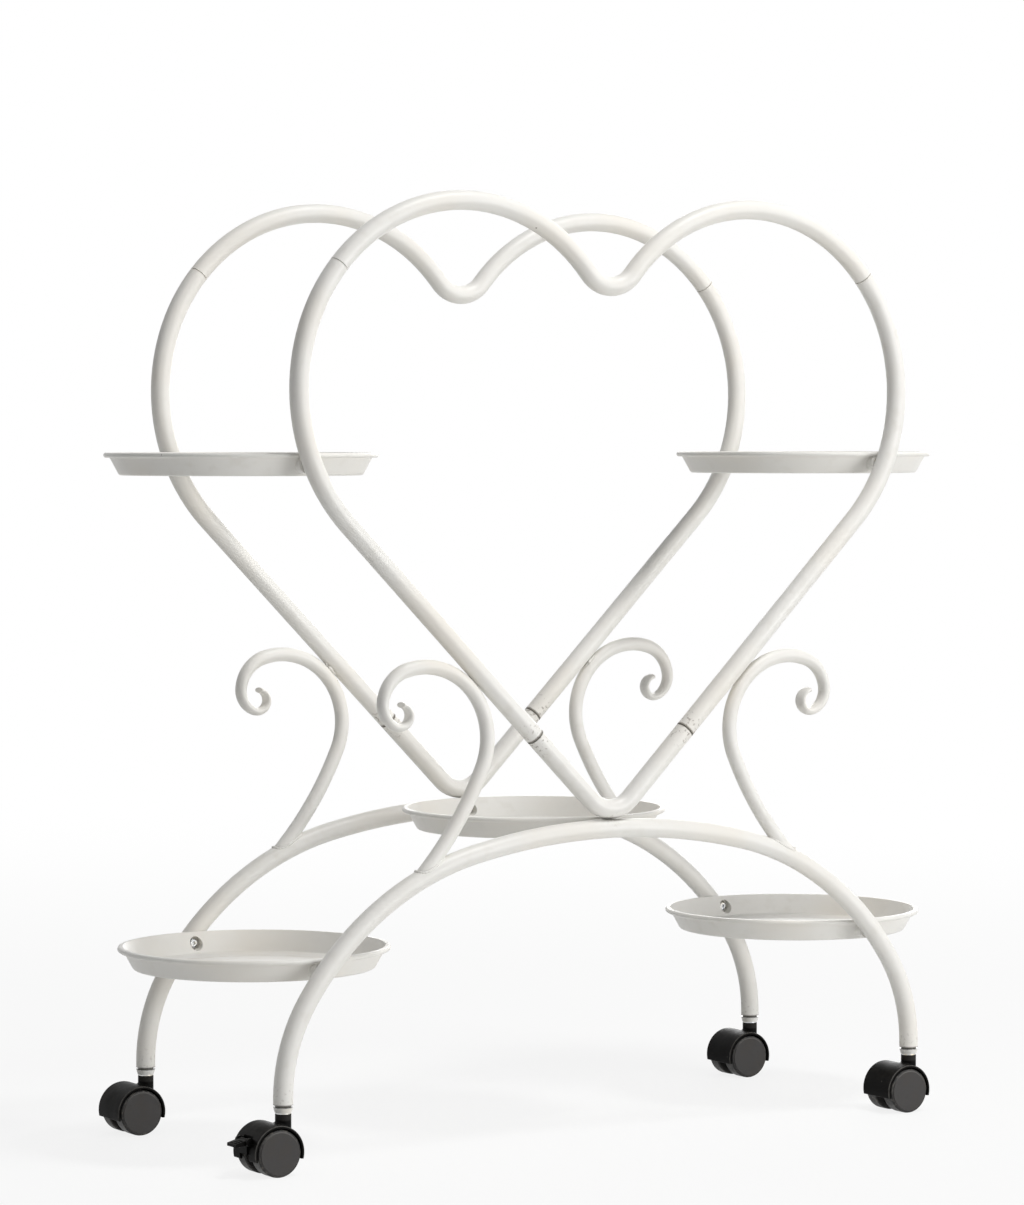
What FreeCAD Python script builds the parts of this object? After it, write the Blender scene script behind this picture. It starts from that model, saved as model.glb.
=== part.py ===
import FreeCAD, Part
import math
import os

import Sketcher

# Rolling plant stand: two heart-shaped tube frames, front and back, tied together by round
# dish trays, on four twin-wheel casters. Millimetres, +Z up, -Y is the front.
# The origin is on the floor, midway between the four legs.

VEC = FreeCAD.Vector
doc = FreeCAD.newDocument("RollingPlantStand")

# Driving sizes
SIZES = [
    ("tube_d", 16.0, "outside diameter of the frame tube"),
    ("tube_wall", 1.2, "wall of the frame tube"),
    ("frame_spacing", 240.0, "front tube centre to back tube centre"),
    ("arch_top_r", 580.0, "radius of the arch over its top"),
    ("arch_top_turn", 13.1, "half angle of the top arc, degrees"),
    ("arch_mid_r", 252.5, "radius of the arch's shoulders"),
    ("arch_mid_turn", 44.2, "angle of each shoulder arc, degrees"),
    ("arch_leg_r", 139.5, "radius where the shoulders turn into the legs"),
    ("leg_end", 54.5, "height of the tube's cut end"),
    ("leg_straight", 4.5, "straight length at the foot of a leg"),
    ("lobe_r", 153.0, "centre line radius of each lobe of the heart"),
    ("lobe_x", 140.0, "lobe centre from the middle"),
    ("bend_r", 27.0, "tight bends at the heart's foot and cleft"),
    ("weld_root", 0.25, "gap left at a welded joint for the weld"),
    ("foot_reach", 104.0, "seam of the foot, measured up the diagonal from its corner"),
    ("top_seam", 40.0, "seam of the top, degrees above the lobe's centre"),
    ("seam_gap", 0.9, "open joint line between two tubes"),
    ("spigot_len", 26.0, "length of a narrowed tube end"),
    ("spigot_root", 5.0, "length of its root inside its own tube"),
    ("spigot_fit", 0.1, "radial play of a narrowed end in its tube"),
    ("spigot_wall", 1.3, "wall of a narrowed end"),
    ("bar_d", 12.0, "scroll bar diameter"),
    ("scroll_gap", 0.6, "scroll to the heart's diagonal that it lies against"),
    ("scroll_rise", 8.05, "scroll's foot above the arch's centre line"),
    ("scroll_lean", 41.7, "lean of the scroll's foot from upright, degrees"),
    ("scroll_sink", 14.0, "straight length of the bar that is coped away to the arch"),
    ("curl_a_r", 284.5, "first radius of the scroll"),
    ("curl_a_turn", 18.2, "angle of the first arc"),
    ("curl_b_r", 59.6, "second radius"),
    ("curl_b_turn", 130.4, "angle of the second arc"),
    ("curl_c_r", 30.0, "third radius"),
    ("curl_c_turn", 66.0, "angle of the third arc"),
    ("curl_d_r", 18.8, "fourth radius"),
    ("curl_d_turn", 77.0, "angle of the fourth arc"),
    ("curl_e_r", 9.2, "radius of the tip's curl"),
    ("curl_e_turn", 190.0, "angle of the tip's curl"),
    ("tip_thick", 4.6, "thickness of the beaten tip"),
    ("tip_wide", 13.0, "width of the beaten tip, front to back"),
    ("tray_h", 18.5, "tray, underside to rim"),
    ("tray_floor_r", 99.0, "outside radius of the tray's floor"),
    ("tray_wall_r", 106.8, "outside radius at the top of the tray's wall"),
    ("tray_sheet", 1.2, "sheet thickness of the tray"),
    ("tray_rim_play", 0.2, "rim to tube"),
    ("rim_d", 4.2, "thickness of the rolled rim"),
    ("tray_corner", 3.0, "outside radius between floor and wall"),
    ("tray_fix", 9.2, "height of the fixing screws above the tray's underside"),
    ("cup_d", 14.0, "pressed cup that the fixing screw sits in"),
    ("leg_tray_rim", 167.0, "rim height of the leg trays"),
    ("side_tray_rim", 570.0, "rim height of the side trays"),
    ("screw_d", 5.0, "tray screw thread"),
    ("screw_play", 0.15, "radial play of the screw in the tray's sheet"),
    ("screw_len", 10.0, "tray screw, under the head"),
    ("head_d", 9.0, "tray screw head"),
    ("head_h", 2.6, "height of the head"),
    ("head_flat_d", 5.6, "flat top of the head"),
    ("head_side_d", 8.4, "head where its side turns in"),
    ("head_side_h", 1.4, "height where its side turns in"),
    ("hex_af", 3.0, "key size of the head, across flats"),
    ("hex_deep", 1.6, "depth of the key socket"),
    ("nut_d", 7.0, "rivet nut body"),
    ("nut_len", 8.5, "rivet nut body length"),
    ("nut_flange_d", 9.6, "rivet nut flange"),
    ("nut_flange_h", 0.7, "rivet nut flange thickness"),
    ("nut_fit", 0.03, "radial play of the nut's body and thread"),
    ("socket_gap", 1.6, "open joint line between the leg and the socket's collar"),
    ("socket_collar", 4.4, "leg socket, height of its tapered collar"),
    ("socket_low_d", 13.6, "collar diameter at the bottom"),
    ("socket_fit", 0.3, "radial play of the socket's plug in the leg"),
    ("socket_plug_len", 11.5, "length of the plug"),
    ("stem_d", 8.0, "caster stem"),
    ("stem_fit", 0.05, "radial play of the stem in its bores"),
    ("stem_low", 29.5, "height of the stem's lower end"),
    ("stem_flange_d", 12.4, "flange of the stem"),
    ("stem_flange_h", 0.9, "thickness of the flange"),
    ("stem_tip_gap", 2.0, "stem's top below the top of the plug"),
    ("swivel_play", 0.15, "hood to flange"),
    ("trail", 13.0, "axle behind the swivel axis"),
    ("wheel_d", 38.0, "caster wheel"),
    ("wheel_w", 12.8, "width of one wheel, without its cap"),
    ("wheel_play", 0.6, "wheel to web"),
    ("web_t", 10.0, "web between the wheels"),
    ("tread_round", 1.5, "rounding of the tread's edges"),
    ("cap_edge", 0.4, "flat ring between the tread's rounding and the raised cap"),
    ("cap_h", 0.6, "height of the cap"),
    ("cap_round", 0.4, "rounding of the cap's edge"),
    ("wheel_rim", 4.0, "thickness of a wheel's rim around its hollow"),
    ("dish_deep", 6.5, "depth of the hollow"),
    ("hub_d", 11.0, "hub of a wheel"),
    ("axle_d", 5.0, "axle"),
    ("wheel_skin", 2.0, "wheel left outside the end of its bore"),
    ("axle_fit", 0.06, "radial play of a wheel on its axle"),
    ("axle_end_gap", 0.5, "end of the axle to the bottom of the wheel's bore"),
    ("hood_clear", 1.2, "tread to hood"),
    ("hood_t", 2.0, "thickness of the hood"),
    ("hood_over", 0.1, "hood past each wheel's flat face"),
    ("hood_wrap", 14.0, "how far the hood reaches below the axle, degrees"),
    ("hood_round", 0.8, "rounding of the hood's edges"),
    ("neck_d", 13.0, "neck of the hood"),
    ("neck_low", 22.0, "height where the neck starts, inside the hood"),
    ("neck_round", 1.6, "rounding between neck and hood"),
    ("web_foot", 8.0, "web's lower edge under the axle"),
    ("lever_x", 21.5, "lever pivot behind the axle"),
    ("lever_z", 9.5, "lever pivot above the axle"),
    ("lever_w", 14.0, "width of the brake lever"),
    ("lever_play", 0.4, "lever to the sides of its slot"),
    ("lever_pin_d", 3.0, "lever pivot pin"),
    ("lever_pin_fit", 0.06, "radial play of the lever pivot"),
    ("lever_hub_d", 5.2, "hub of the lever"),
    ("lever_reach", 12.0, "lever's pedal, from its pivot"),
    ("lever_drop", 3.2, "fall of the pedal over its length"),
    ("pedal_crown", 2.3, "pedal's top above the pivot"),
    ("pedal_root", 4.4, "thickness of the pedal at its root"),
    ("pedal_tip", 2.4, "thickness of the pedal at its tip"),
    ("nose_len", 9.6, "lever's brake nose, down from its pivot"),
    ("nose_root", 4.2, "thickness of the nose at the pivot"),
    ("nose_t", 2.6, "thickness of the nose at its end"),
    ("nose_gap", 1.9, "nose to tread with the brake off"),
    ("ear_w", 2.6, "width of each ear that holds the lever"),
    ("ear_d", 7.0, "diameter of an ear"),
    ("slot_top", 4.2, "slot's upper edge above the lever's pivot"),
    ("stem_floor", 0.45, "space under the stem in the hood's bore"),
]

sheet = doc.addObject("Spreadsheet::Sheet", "dims")
SIZE = {}
for row, (alias, value, words) in enumerate(SIZES, start=1):
    sheet.set("A%d" % row, words)
    sheet.set("B%d" % row, str(value))
    sheet.setAlias("B%d" % row, alias)
    SIZE[alias] = value
doc.recompute()


def d(alias):
    """The sheet's cell with this alias, as it is written in an expression."""
    return "dims." + alias


# Lengths that follow from the driving sizes, as expressions
HALF_DEPTH = "dims.frame_spacing / 2"
TUBE_R = "dims.tube_d / 2"
BORE_R = "(dims.tube_d / 2 - dims.tube_wall)"
SPIGOT_R = "(dims.tube_d / 2 - dims.tube_wall - dims.spigot_fit)"
SPIGOT_BORE_R = "(dims.tube_d / 2 - dims.tube_wall - dims.spigot_fit - dims.spigot_wall)"
ROOT_R = "(dims.tube_d / 2 - dims.tube_wall / 2)"
TOP_TURN = "dims.arch_top_turn * 1 deg"
LEG_TURN = "(dims.arch_top_turn + dims.arch_mid_turn) * 1 deg"
MID_X = "((dims.arch_top_r - dims.arch_mid_r) * sin(%s))" % TOP_TURN
LEG_TOP = "(dims.leg_end + dims.leg_straight)"
MID_Z = "(%s - (dims.arch_mid_r - dims.arch_leg_r) * cos(%s))" % (LEG_TOP, LEG_TURN)
TOP_Z = "(%s - (dims.arch_top_r - dims.arch_mid_r) * cos(%s))" % (MID_Z, TOP_TURN)
APEX_Z = "(%s + dims.arch_top_r)" % TOP_Z
LEG_X = "(%s + (dims.arch_mid_r - dims.arch_leg_r) * sin(%s) + dims.arch_leg_r)" % (MID_X, LEG_TURN)
CORNER_Z = "(%s + dims.tube_d + dims.weld_root - dims.bend_r * (sqrt(2) - 1))" % APEX_Z
LOBE_Z = "(%s + dims.lobe_x + dims.lobe_r * sqrt(2))" % CORNER_Z
TRAY_R = "(dims.frame_spacing / 2 - dims.tube_d / 2 - dims.tray_rim_play)"
NUT_FACE = "(dims.frame_spacing / 2 - dims.tube_d / 2 - dims.nut_flange_h)"
WHEEL_IN = "(dims.web_t / 2 + dims.wheel_play)"
HOOD_IN_R = "(dims.wheel_d / 2 + dims.hood_clear)"
HOOD_OUT_R = "(dims.wheel_d / 2 + dims.hood_clear + dims.hood_t)"
SLOT_W = "(dims.lever_w + 2 * dims.lever_play)"
SOCKET_LOW = "(dims.leg_end - dims.socket_gap - dims.socket_collar)"
NECK_TOP = "(%s - dims.stem_flange_h - dims.swivel_play)" % SOCKET_LOW
PLUG_R = "(%s - dims.socket_fit)" % BORE_R
BORE_DEEP = "(dims.wheel_w + dims.cap_h - dims.wheel_skin)"
AXLE_LEN = "2 * (%s + %s - dims.axle_end_gap)" % (WHEEL_IN, BORE_DEEP)
CAP_R = "(dims.wheel_d / 2 - dims.tread_round - dims.cap_edge)"
DISH_R = "(dims.wheel_d / 2 - dims.wheel_rim)"
HOOD_W = "(2 * (%s + dims.wheel_w + dims.hood_over))" % WHEEL_IN
# The second arc of a scroll lies against the heart's diagonal, which settles the place of its foot
FOOT_LEAN = "dims.scroll_lean * 1 deg"
BACK_LEAN = "(dims.scroll_lean - dims.curl_a_turn) * 1 deg"
CURL_X = "(dims.curl_a_r * cos(%s) - (dims.curl_a_r - dims.curl_b_r) * cos(%s))" % (FOOT_LEAN, BACK_LEAN)
CURL_Z = "(dims.curl_a_r * sin(%s) - (dims.curl_a_r - dims.curl_b_r) * sin(%s))" % (FOOT_LEAN, BACK_LEAN)
CURL_OFF = "(dims.curl_b_r + dims.bar_d / 2 + dims.tube_d / 2 + dims.scroll_gap)"
SCROLL_SIDE = "(sqrt(2) * %s - %s - %s + %s - %s + %s + dims.scroll_rise)" % (
    CURL_OFF, CORNER_Z, CURL_X, CURL_Z, MID_X, MID_Z)
SCROLL_TURN = "(45 deg + asin(%s / (sqrt(2) * dims.arch_mid_r)))" % SCROLL_SIDE
SCROLL_X = "(%s + dims.arch_mid_r * sin(%s))" % (MID_X, SCROLL_TURN)
SCROLL_Z = "(%s + dims.arch_mid_r * cos(%s) + dims.scroll_rise)" % (MID_Z, SCROLL_TURN)

# The same lengths as numbers, which start each sketch near its solution
S2 = math.sqrt(2.0)
top_turn = math.radians(SIZE["arch_top_turn"])
leg_turn = math.radians(SIZE["arch_top_turn"] + SIZE["arch_mid_turn"])
mid_x = (SIZE["arch_top_r"] - SIZE["arch_mid_r"]) * math.sin(top_turn)
leg_cz = SIZE["leg_end"] + SIZE["leg_straight"]
mid_z = leg_cz - (SIZE["arch_mid_r"] - SIZE["arch_leg_r"]) * math.cos(leg_turn)
top_z = mid_z - (SIZE["arch_top_r"] - SIZE["arch_mid_r"]) * math.cos(top_turn)
apex_z = top_z + SIZE["arch_top_r"]
leg_cx = mid_x + (SIZE["arch_mid_r"] - SIZE["arch_leg_r"]) * math.sin(leg_turn)
leg_x = leg_cx + SIZE["arch_leg_r"]
corner_z = apex_z + SIZE["tube_d"] + SIZE["weld_root"] - SIZE["bend_r"] * (S2 - 1.0)
lobe_z = corner_z + SIZE["lobe_x"] + SIZE["lobe_r"] * S2
foot_lean = math.radians(SIZE["scroll_lean"])
back_lean = math.radians(SIZE["scroll_lean"] - SIZE["curl_a_turn"])
curl_step = SIZE["curl_a_r"] - SIZE["curl_b_r"]
curl_x = SIZE["curl_a_r"] * math.cos(foot_lean) - curl_step * math.cos(back_lean)
curl_z = SIZE["curl_a_r"] * math.sin(foot_lean) - curl_step * math.sin(back_lean)
curl_off = SIZE["curl_b_r"] + SIZE["bar_d"] / 2 + SIZE["tube_d"] / 2 + SIZE["scroll_gap"]
scroll_side = S2 * curl_off - corner_z - curl_x + curl_z - mid_x + mid_z + SIZE["scroll_rise"]
scroll_turn = math.pi / 4 + math.asin(scroll_side / (S2 * SIZE["arch_mid_r"]))
scroll_x = mid_x + SIZE["arch_mid_r"] * math.sin(scroll_turn)
scroll_z = mid_z + SIZE["arch_mid_r"] * math.cos(scroll_turn) + SIZE["scroll_rise"]


def plane(body, role):
    """One of a body's own origin planes, found by its role."""
    return [o for o in body.Origin.OriginFeatures if o.Role == role][0]


def new_body(label):
    body = doc.addObject("PartDesign::Body", label)
    body.Label = label
    return body


def new_sketch(body, name, role="XZ_Plane"):
    sk = body.newObject("Sketcher::SketchObject", name)
    sk.AttachmentSupport = [(plane(body, role), "")]
    sk.MapMode = "FlatFace"
    return sk


def bind(sk, constraint, expression):
    """Add a dimension to a sketch and tie it to an expression."""
    index = sk.addConstraint(constraint)
    sk.setExpression("Constraints[%d]" % index, expression)
    return index


def set_x(sk, geo, pos, value, expression):
    """Fix a point's first coordinate. The expression gives its size without a sign."""
    if value < 0:
        return bind(sk, Sketcher.Constraint("DistanceX", geo, pos, -1, 1, -value), expression)
    return bind(sk, Sketcher.Constraint("DistanceX", -1, 1, geo, pos, value), expression)


def set_y(sk, geo, pos, value, expression):
    """Fix a point's second coordinate. The expression gives its size without a sign."""
    if value < 0:
        return bind(sk, Sketcher.Constraint("DistanceY", geo, pos, -1, 1, -value), expression)
    return bind(sk, Sketcher.Constraint("DistanceY", -1, 1, geo, pos, value), expression)


def set_r(sk, geo, value, expression):
    return bind(sk, Sketcher.Constraint("Radius", geo, value), expression)


class Run:
    """A run of lines and arcs in one sketch, each tangent to the one before it.

    The heading is in degrees, and a positive turn is clockwise as the sketch is looked at.
    """

    def __init__(self, sk, x, z, heading):
        self.sk = sk
        self.at = VEC(x, z, 0)
        self.heading = math.radians(heading)
        self.last = None
        self.pieces = []

    def join(self, geo, start, end):
        if self.last is not None:
            self.sk.addConstraint(Sketcher.Constraint("Tangent", self.last[0], self.last[2], geo, start))
        self.last = (geo, start, end)
        self.pieces.append(self.last)
        return self.last

    def line(self, length):
        step = VEC(math.cos(self.heading), math.sin(self.heading), 0) * length
        geo = self.sk.addGeometry(Part.LineSegment(self.at, self.at + step), False)
        self.at = self.at + step
        return self.join(geo, 1, 2)

    def arc(self, radius, turn):
        side = 1.0 if turn > 0 else -1.0
        angle = math.radians(abs(turn))
        centre = self.at + VEC(math.sin(self.heading), -math.cos(self.heading), 0) * (side * radius)
        first = math.atan2(self.at.y - centre.y, self.at.x - centre.x)
        last = first - side * angle
        circle = Part.Circle(centre, VEC(0, 0, 1), radius)
        if side > 0:
            geo = self.sk.addGeometry(Part.ArcOfCircle(circle, last, first), False)
            ends = (2, 1)
        else:
            geo = self.sk.addGeometry(Part.ArcOfCircle(circle, first, last), False)
            ends = (1, 2)
        self.at = centre + VEC(math.cos(last), math.sin(last), 0) * radius
        self.heading -= side * angle
        return self.join(geo, ends[0], ends[1])


def ring_profile(body, path, name, edge, parameter, radii):
    """Concentric circles square to one edge of a path."""
    sk = body.newObject("Sketcher::SketchObject", name)
    sk.AttachmentSupport = [(path, edge)]
    sk.MapMode = "NormalToEdge"
    sk.MapPathParameter = parameter
    for value, expression in radii:
        geo = sk.addGeometry(Part.Circle(VEC(0, 0, 0), VEC(0, 0, 1), value), False)
        sk.addConstraint(Sketcher.Constraint("Coincident", geo, 3, -1, 1))
        set_r(sk, geo, value, expression)
    return sk


def path_edge(sk, piece):
    """The path's edge drawn for one piece of a run, and 0 or 1, the end that the run enters it by."""
    enter = sk.Placement.multVec(sk.getPoint(piece[0], piece[1]))
    leave = sk.Placement.multVec(sk.getPoint(piece[0], piece[2]))
    for number, edge in enumerate(sk.Shape.Edges, start=1):
        first = edge.valueAt(edge.FirstParameter)
        last = edge.valueAt(edge.LastParameter)
        if first.isEqual(enter, 1e-4) and last.isEqual(leave, 1e-4):
            return "Edge%d" % number, 0.0
        if first.isEqual(leave, 1e-4) and last.isEqual(enter, 1e-4):
            return "Edge%d" % number, 1.0
    raise RuntimeError("no edge for a piece of " + sk.Name)


def pipe(body, path, name, radii, pieces, whole=True):
    """Sweep concentric circles along a path, from the start of the first of its pieces.

    whole sweeps the whole path, otherwise only the pieces named.
    """
    doc.recompute()
    edge, end = path_edge(path, pieces[0])
    profile = ring_profile(body, path, name + "_ring", edge, end, radii)
    doc.recompute()
    feature = body.newObject("PartDesign::AdditivePipe", name)
    feature.Profile = profile
    feature.Spine = (path, [""] if whole else [path_edge(path, piece)[0] for piece in pieces])
    body.Tip = feature
    doc.recompute()
    return feature


TUBE_RINGS = [(SIZE["tube_d"] / 2, TUBE_R), (SIZE["tube_d"] / 2 - SIZE["tube_wall"], BORE_R)]
spigot_r = SIZE["tube_d"] / 2 - SIZE["tube_wall"] - SIZE["spigot_fit"]
SPIGOT_RINGS = [(spigot_r, SPIGOT_R), (spigot_r - SIZE["spigot_wall"], SPIGOT_BORE_R)]
ROOT_RINGS = [
    (SIZE["tube_d"] / 2 - SIZE["tube_wall"] / 2, ROOT_R),
    (spigot_r - SIZE["spigot_wall"], SPIGOT_BORE_R),
]


def rivet_holes(body, name, places, inward):
    """Round holes for the rivet nuts through one side of a tube.

    places are (x, x expression, z, z expression). inward is +1 or -1, the side of the
    tube's own plane that the holes open to.
    """
    sk = new_sketch(body, name + "_sketch")
    for x, x_expr, z, z_expr in places:
        r = SIZE["nut_d"] / 2 + SIZE["nut_fit"]
        geo = sk.addGeometry(Part.Circle(VEC(x, z, 0), VEC(0, 0, 1), r), False)
        set_r(sk, geo, r, "dims.nut_d / 2 + dims.nut_fit")
        if x_expr is None:
            sk.addConstraint(Sketcher.Constraint("PointOnObject", geo, 3, -2))
        else:
            set_x(sk, geo, 3, x, x_expr)
        set_y(sk, geo, 3, z, z_expr)
    pocket = body.newObject("PartDesign::Pocket", name)
    pocket.Profile = sk
    pocket.Type = "Length"
    pocket.setExpression("Length", d("tube_d"))
    pocket.Reversed = inward < 0
    body.Tip = pocket
    doc.recompute()
    return pocket


def place(obj, x=None, y=None, z=None, turn=0.0):
    """Put an object where it belongs: expressions for its position and a turn about Z."""
    obj.Placement = FreeCAD.Placement(VEC(0, 0, 0), FreeCAD.Rotation(VEC(0, 0, 1), turn))
    for axis, expression in (("x", x), ("y", y), ("z", z)):
        if expression is not None:
            obj.setExpression("Placement.Base." + axis, expression)


# Where the trays meet the tubes
fix_drop = SIZE["tray_h"] - SIZE["tray_fix"]
LEG_FIX_Z = "(dims.leg_tray_rim - dims.tray_h + dims.tray_fix)"
SIDE_FIX_Z = "(dims.side_tray_rim - dims.tray_h + dims.tray_fix)"
LEG_FIX_X = "(%s + sqrt(dims.arch_mid_r * dims.arch_mid_r - (%s - %s) * (%s - %s)))" % (
    MID_X, LEG_FIX_Z, MID_Z, LEG_FIX_Z, MID_Z)
SIDE_FIX_X = "(dims.lobe_x + sqrt(dims.lobe_r * dims.lobe_r - (%s - %s) * (%s - %s)))" % (
    SIDE_FIX_Z, LOBE_Z, SIDE_FIX_Z, LOBE_Z)
leg_fix_z = SIZE["leg_tray_rim"] - fix_drop
side_fix_z = SIZE["side_tray_rim"] - fix_drop
leg_fix_x = mid_x + math.sqrt(SIZE["arch_mid_r"] ** 2 - (leg_fix_z - mid_z) ** 2)
side_fix_x = SIZE["lobe_x"] + math.sqrt(SIZE["lobe_r"] ** 2 - (side_fix_z - lobe_z) ** 2)


# Base arch
def arch_path(body):
    """The arch's centre line: leg, shoulder, top, shoulder, leg."""
    sk = new_sketch(body, body.Name + "_path")
    run = Run(sk, -leg_x, SIZE["leg_end"], 90.0)
    leg_angle = 90.0 - SIZE["arch_top_turn"] - SIZE["arch_mid_turn"]
    left = run.line(SIZE["leg_straight"])
    left_leg = run.arc(SIZE["arch_leg_r"], leg_angle)
    left_mid = run.arc(SIZE["arch_mid_r"], SIZE["arch_mid_turn"])
    top = run.arc(SIZE["arch_top_r"], 2 * SIZE["arch_top_turn"])
    right_mid = run.arc(SIZE["arch_mid_r"], SIZE["arch_mid_turn"])
    right_leg = run.arc(SIZE["arch_leg_r"], leg_angle)
    right = run.line(SIZE["leg_straight"])
    sk.addConstraint(Sketcher.Constraint("Vertical", left[0]))
    sk.addConstraint(Sketcher.Constraint("Vertical", right[0]))
    sk.addConstraint(Sketcher.Constraint("PointOnObject", top[0], 3, -2))
    set_r(sk, top[0], SIZE["arch_top_r"], d("arch_top_r"))
    set_y(sk, top[0], 3, top_z, "-" + TOP_Z)
    half = SIZE["arch_top_r"] * math.sin(top_turn)
    set_x(sk, top[0], top[1], -half, "dims.arch_top_r * sin(%s)" % TOP_TURN)
    set_x(sk, top[0], top[2], half, "dims.arch_top_r * sin(%s)" % TOP_TURN)
    for piece in (left_mid, right_mid):
        set_r(sk, piece[0], SIZE["arch_mid_r"], d("arch_mid_r"))
        turn = math.radians(SIZE["arch_mid_turn"])
        bind(sk, Sketcher.Constraint("Angle", piece[0], turn), d("arch_mid_turn"))
    for piece in (left_leg, right_leg):
        set_r(sk, piece[0], SIZE["arch_leg_r"], d("arch_leg_r"))
    set_y(sk, left[0], left[1], SIZE["leg_end"], d("leg_end"))
    set_y(sk, right[0], right[2], SIZE["leg_end"], d("leg_end"))
    return sk, run.pieces


def make_arch(label, y, inward):
    body = new_body(label)
    path, pieces = arch_path(body)
    pipe(body, path, label + "_tube", TUBE_RINGS, pieces)
    rivet_holes(body, label + "_holes", [
        (-leg_fix_x, LEG_FIX_X, leg_fix_z, LEG_FIX_Z),
        (leg_fix_x, LEG_FIX_X, leg_fix_z, LEG_FIX_Z),
        (0.0, None, apex_z, APEX_Z),
    ], inward)
    place(body, y=y)
    return body


# A plain rod along the arch, used only to cope the scrolls' feet to the tube
cope_rod = new_body("cope_rod")
cope_path, cope_pieces = arch_path(cope_rod)
pipe(cope_rod, cope_path, "cope_rod_solid",
     [(SIZE["tube_d"] / 2 + SIZE["weld_root"], TUBE_R + " + dims.weld_root")], cope_pieces)


# Scroll
def make_scroll(label, y, turn):
    """A bar that rises from the arch and curls over, round at first and beaten thin at its tip."""
    bar = new_body(label + "_bar")
    sk = new_sketch(bar, label + "_path")
    heading = 90.0 + SIZE["scroll_lean"]
    sink = SIZE["scroll_sink"]
    run = Run(sk, scroll_x + sink * math.sin(foot_lean), scroll_z - sink * math.cos(foot_lean), heading)
    foot = run.line(sink)
    bind(sk, Sketcher.Constraint("Distance", foot[0], sink), d("scroll_sink"))
    names = ("curl_a", "curl_b", "curl_c", "curl_d", "curl_e")
    arcs = [run.arc(SIZE[n + "_r"], SIZE[n + "_turn"]) for n in names]
    for name, piece in zip(names, arcs):
        set_r(sk, piece[0], SIZE[name + "_r"], d(name + "_r"))
        turned = math.radians(SIZE[name + "_turn"])
        bind(sk, Sketcher.Constraint("Angle", piece[0], turned), d(name + "_turn"))
    set_x(sk, arcs[0][0], 3, scroll_x + SIZE["curl_a_r"] * math.cos(foot_lean),
          "%s + dims.curl_a_r * cos(%s)" % (SCROLL_X, FOOT_LEAN))
    set_y(sk, arcs[0][0], 3, scroll_z + SIZE["curl_a_r"] * math.sin(foot_lean),
          "%s + dims.curl_a_r * sin(%s)" % (SCROLL_Z, FOOT_LEAN))
    set_x(sk, arcs[0][0], arcs[0][1], scroll_x, SCROLL_X)
    bar_ring = [(SIZE["bar_d"] / 2, "dims.bar_d / 2")]
    pipe(bar, sk, label + "_round", bar_ring, [foot] + arcs[:2], whole=False)
    edge, end = path_edge(sk, arcs[2])
    start = ring_profile(bar, sk, label + "_start", edge, end, bar_ring)
    edge, end = path_edge(sk, arcs[4])
    tip = bar.newObject("Sketcher::SketchObject", label + "_tip")
    tip.AttachmentSupport = [(sk, edge)]
    tip.MapMode = "NormalToEdge"
    tip.MapPathParameter = 1.0 - end
    half_wide = SIZE["tip_wide"] / 2
    half_thick = SIZE["tip_thick"] / 2
    geo = tip.addGeometry(Part.Ellipse(VEC(half_wide, 0, 0), VEC(0, half_thick, 0), VEC(0, 0, 0)), False)
    tip.exposeInternalGeometry(geo)
    tip.addConstraint(Sketcher.Constraint("Coincident", geo, 3, -1, 1))
    tip.addConstraint(Sketcher.Constraint("Horizontal", geo + 1))
    bind(tip, Sketcher.Constraint("Distance", geo + 1, SIZE["tip_wide"]), d("tip_wide"))
    bind(tip, Sketcher.Constraint("Distance", geo + 2, SIZE["tip_thick"]), d("tip_thick"))
    doc.recompute()
    taper = bar.newObject("PartDesign::AdditivePipe", label + "_taper")
    taper.Profile = start
    taper.Spine = (sk, [path_edge(sk, arc)[0] for arc in arcs[2:]])
    taper.Transformation = "Multisection"
    taper.Sections = [(tip, [""])]
    bar.Tip = taper
    doc.recompute()
    scroll = doc.addObject("Part::Cut", label)
    scroll.Label = label
    scroll.Base = bar
    scroll.Tool = cope_rod
    place(scroll, y=y, turn=turn)
    doc.recompute()
    return scroll


# Heart foot
def diagonal_point(reach, reach_expr):
    """A point of the right diagonal at a distance from the heart's corner."""
    x = reach / S2
    return x, "(%s) / sqrt(2)" % reach_expr, corner_z + x, "%s + (%s) / sqrt(2)" % (CORNER_Z, reach_expr)


def diagonal_line(body, name, side, reach_a, expr_a, reach_b, expr_b):
    """A straight path on one diagonal of the heart. side is +1 on the right, -1 on the left."""
    sk = new_sketch(body, name)
    ax, ax_expr, az, az_expr = diagonal_point(reach_a, expr_a)
    bx, bx_expr, bz, bz_expr = diagonal_point(reach_b, expr_b)
    geo = sk.addGeometry(Part.LineSegment(VEC(side * ax, az, 0), VEC(side * bx, bz, 0)), False)
    set_x(sk, geo, 1, side * ax, ax_expr)
    set_y(sk, geo, 1, az, az_expr)
    set_x(sk, geo, 2, side * bx, bx_expr)
    set_y(sk, geo, 2, bz, bz_expr)
    return sk, [(geo, 1, 2)]


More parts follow.
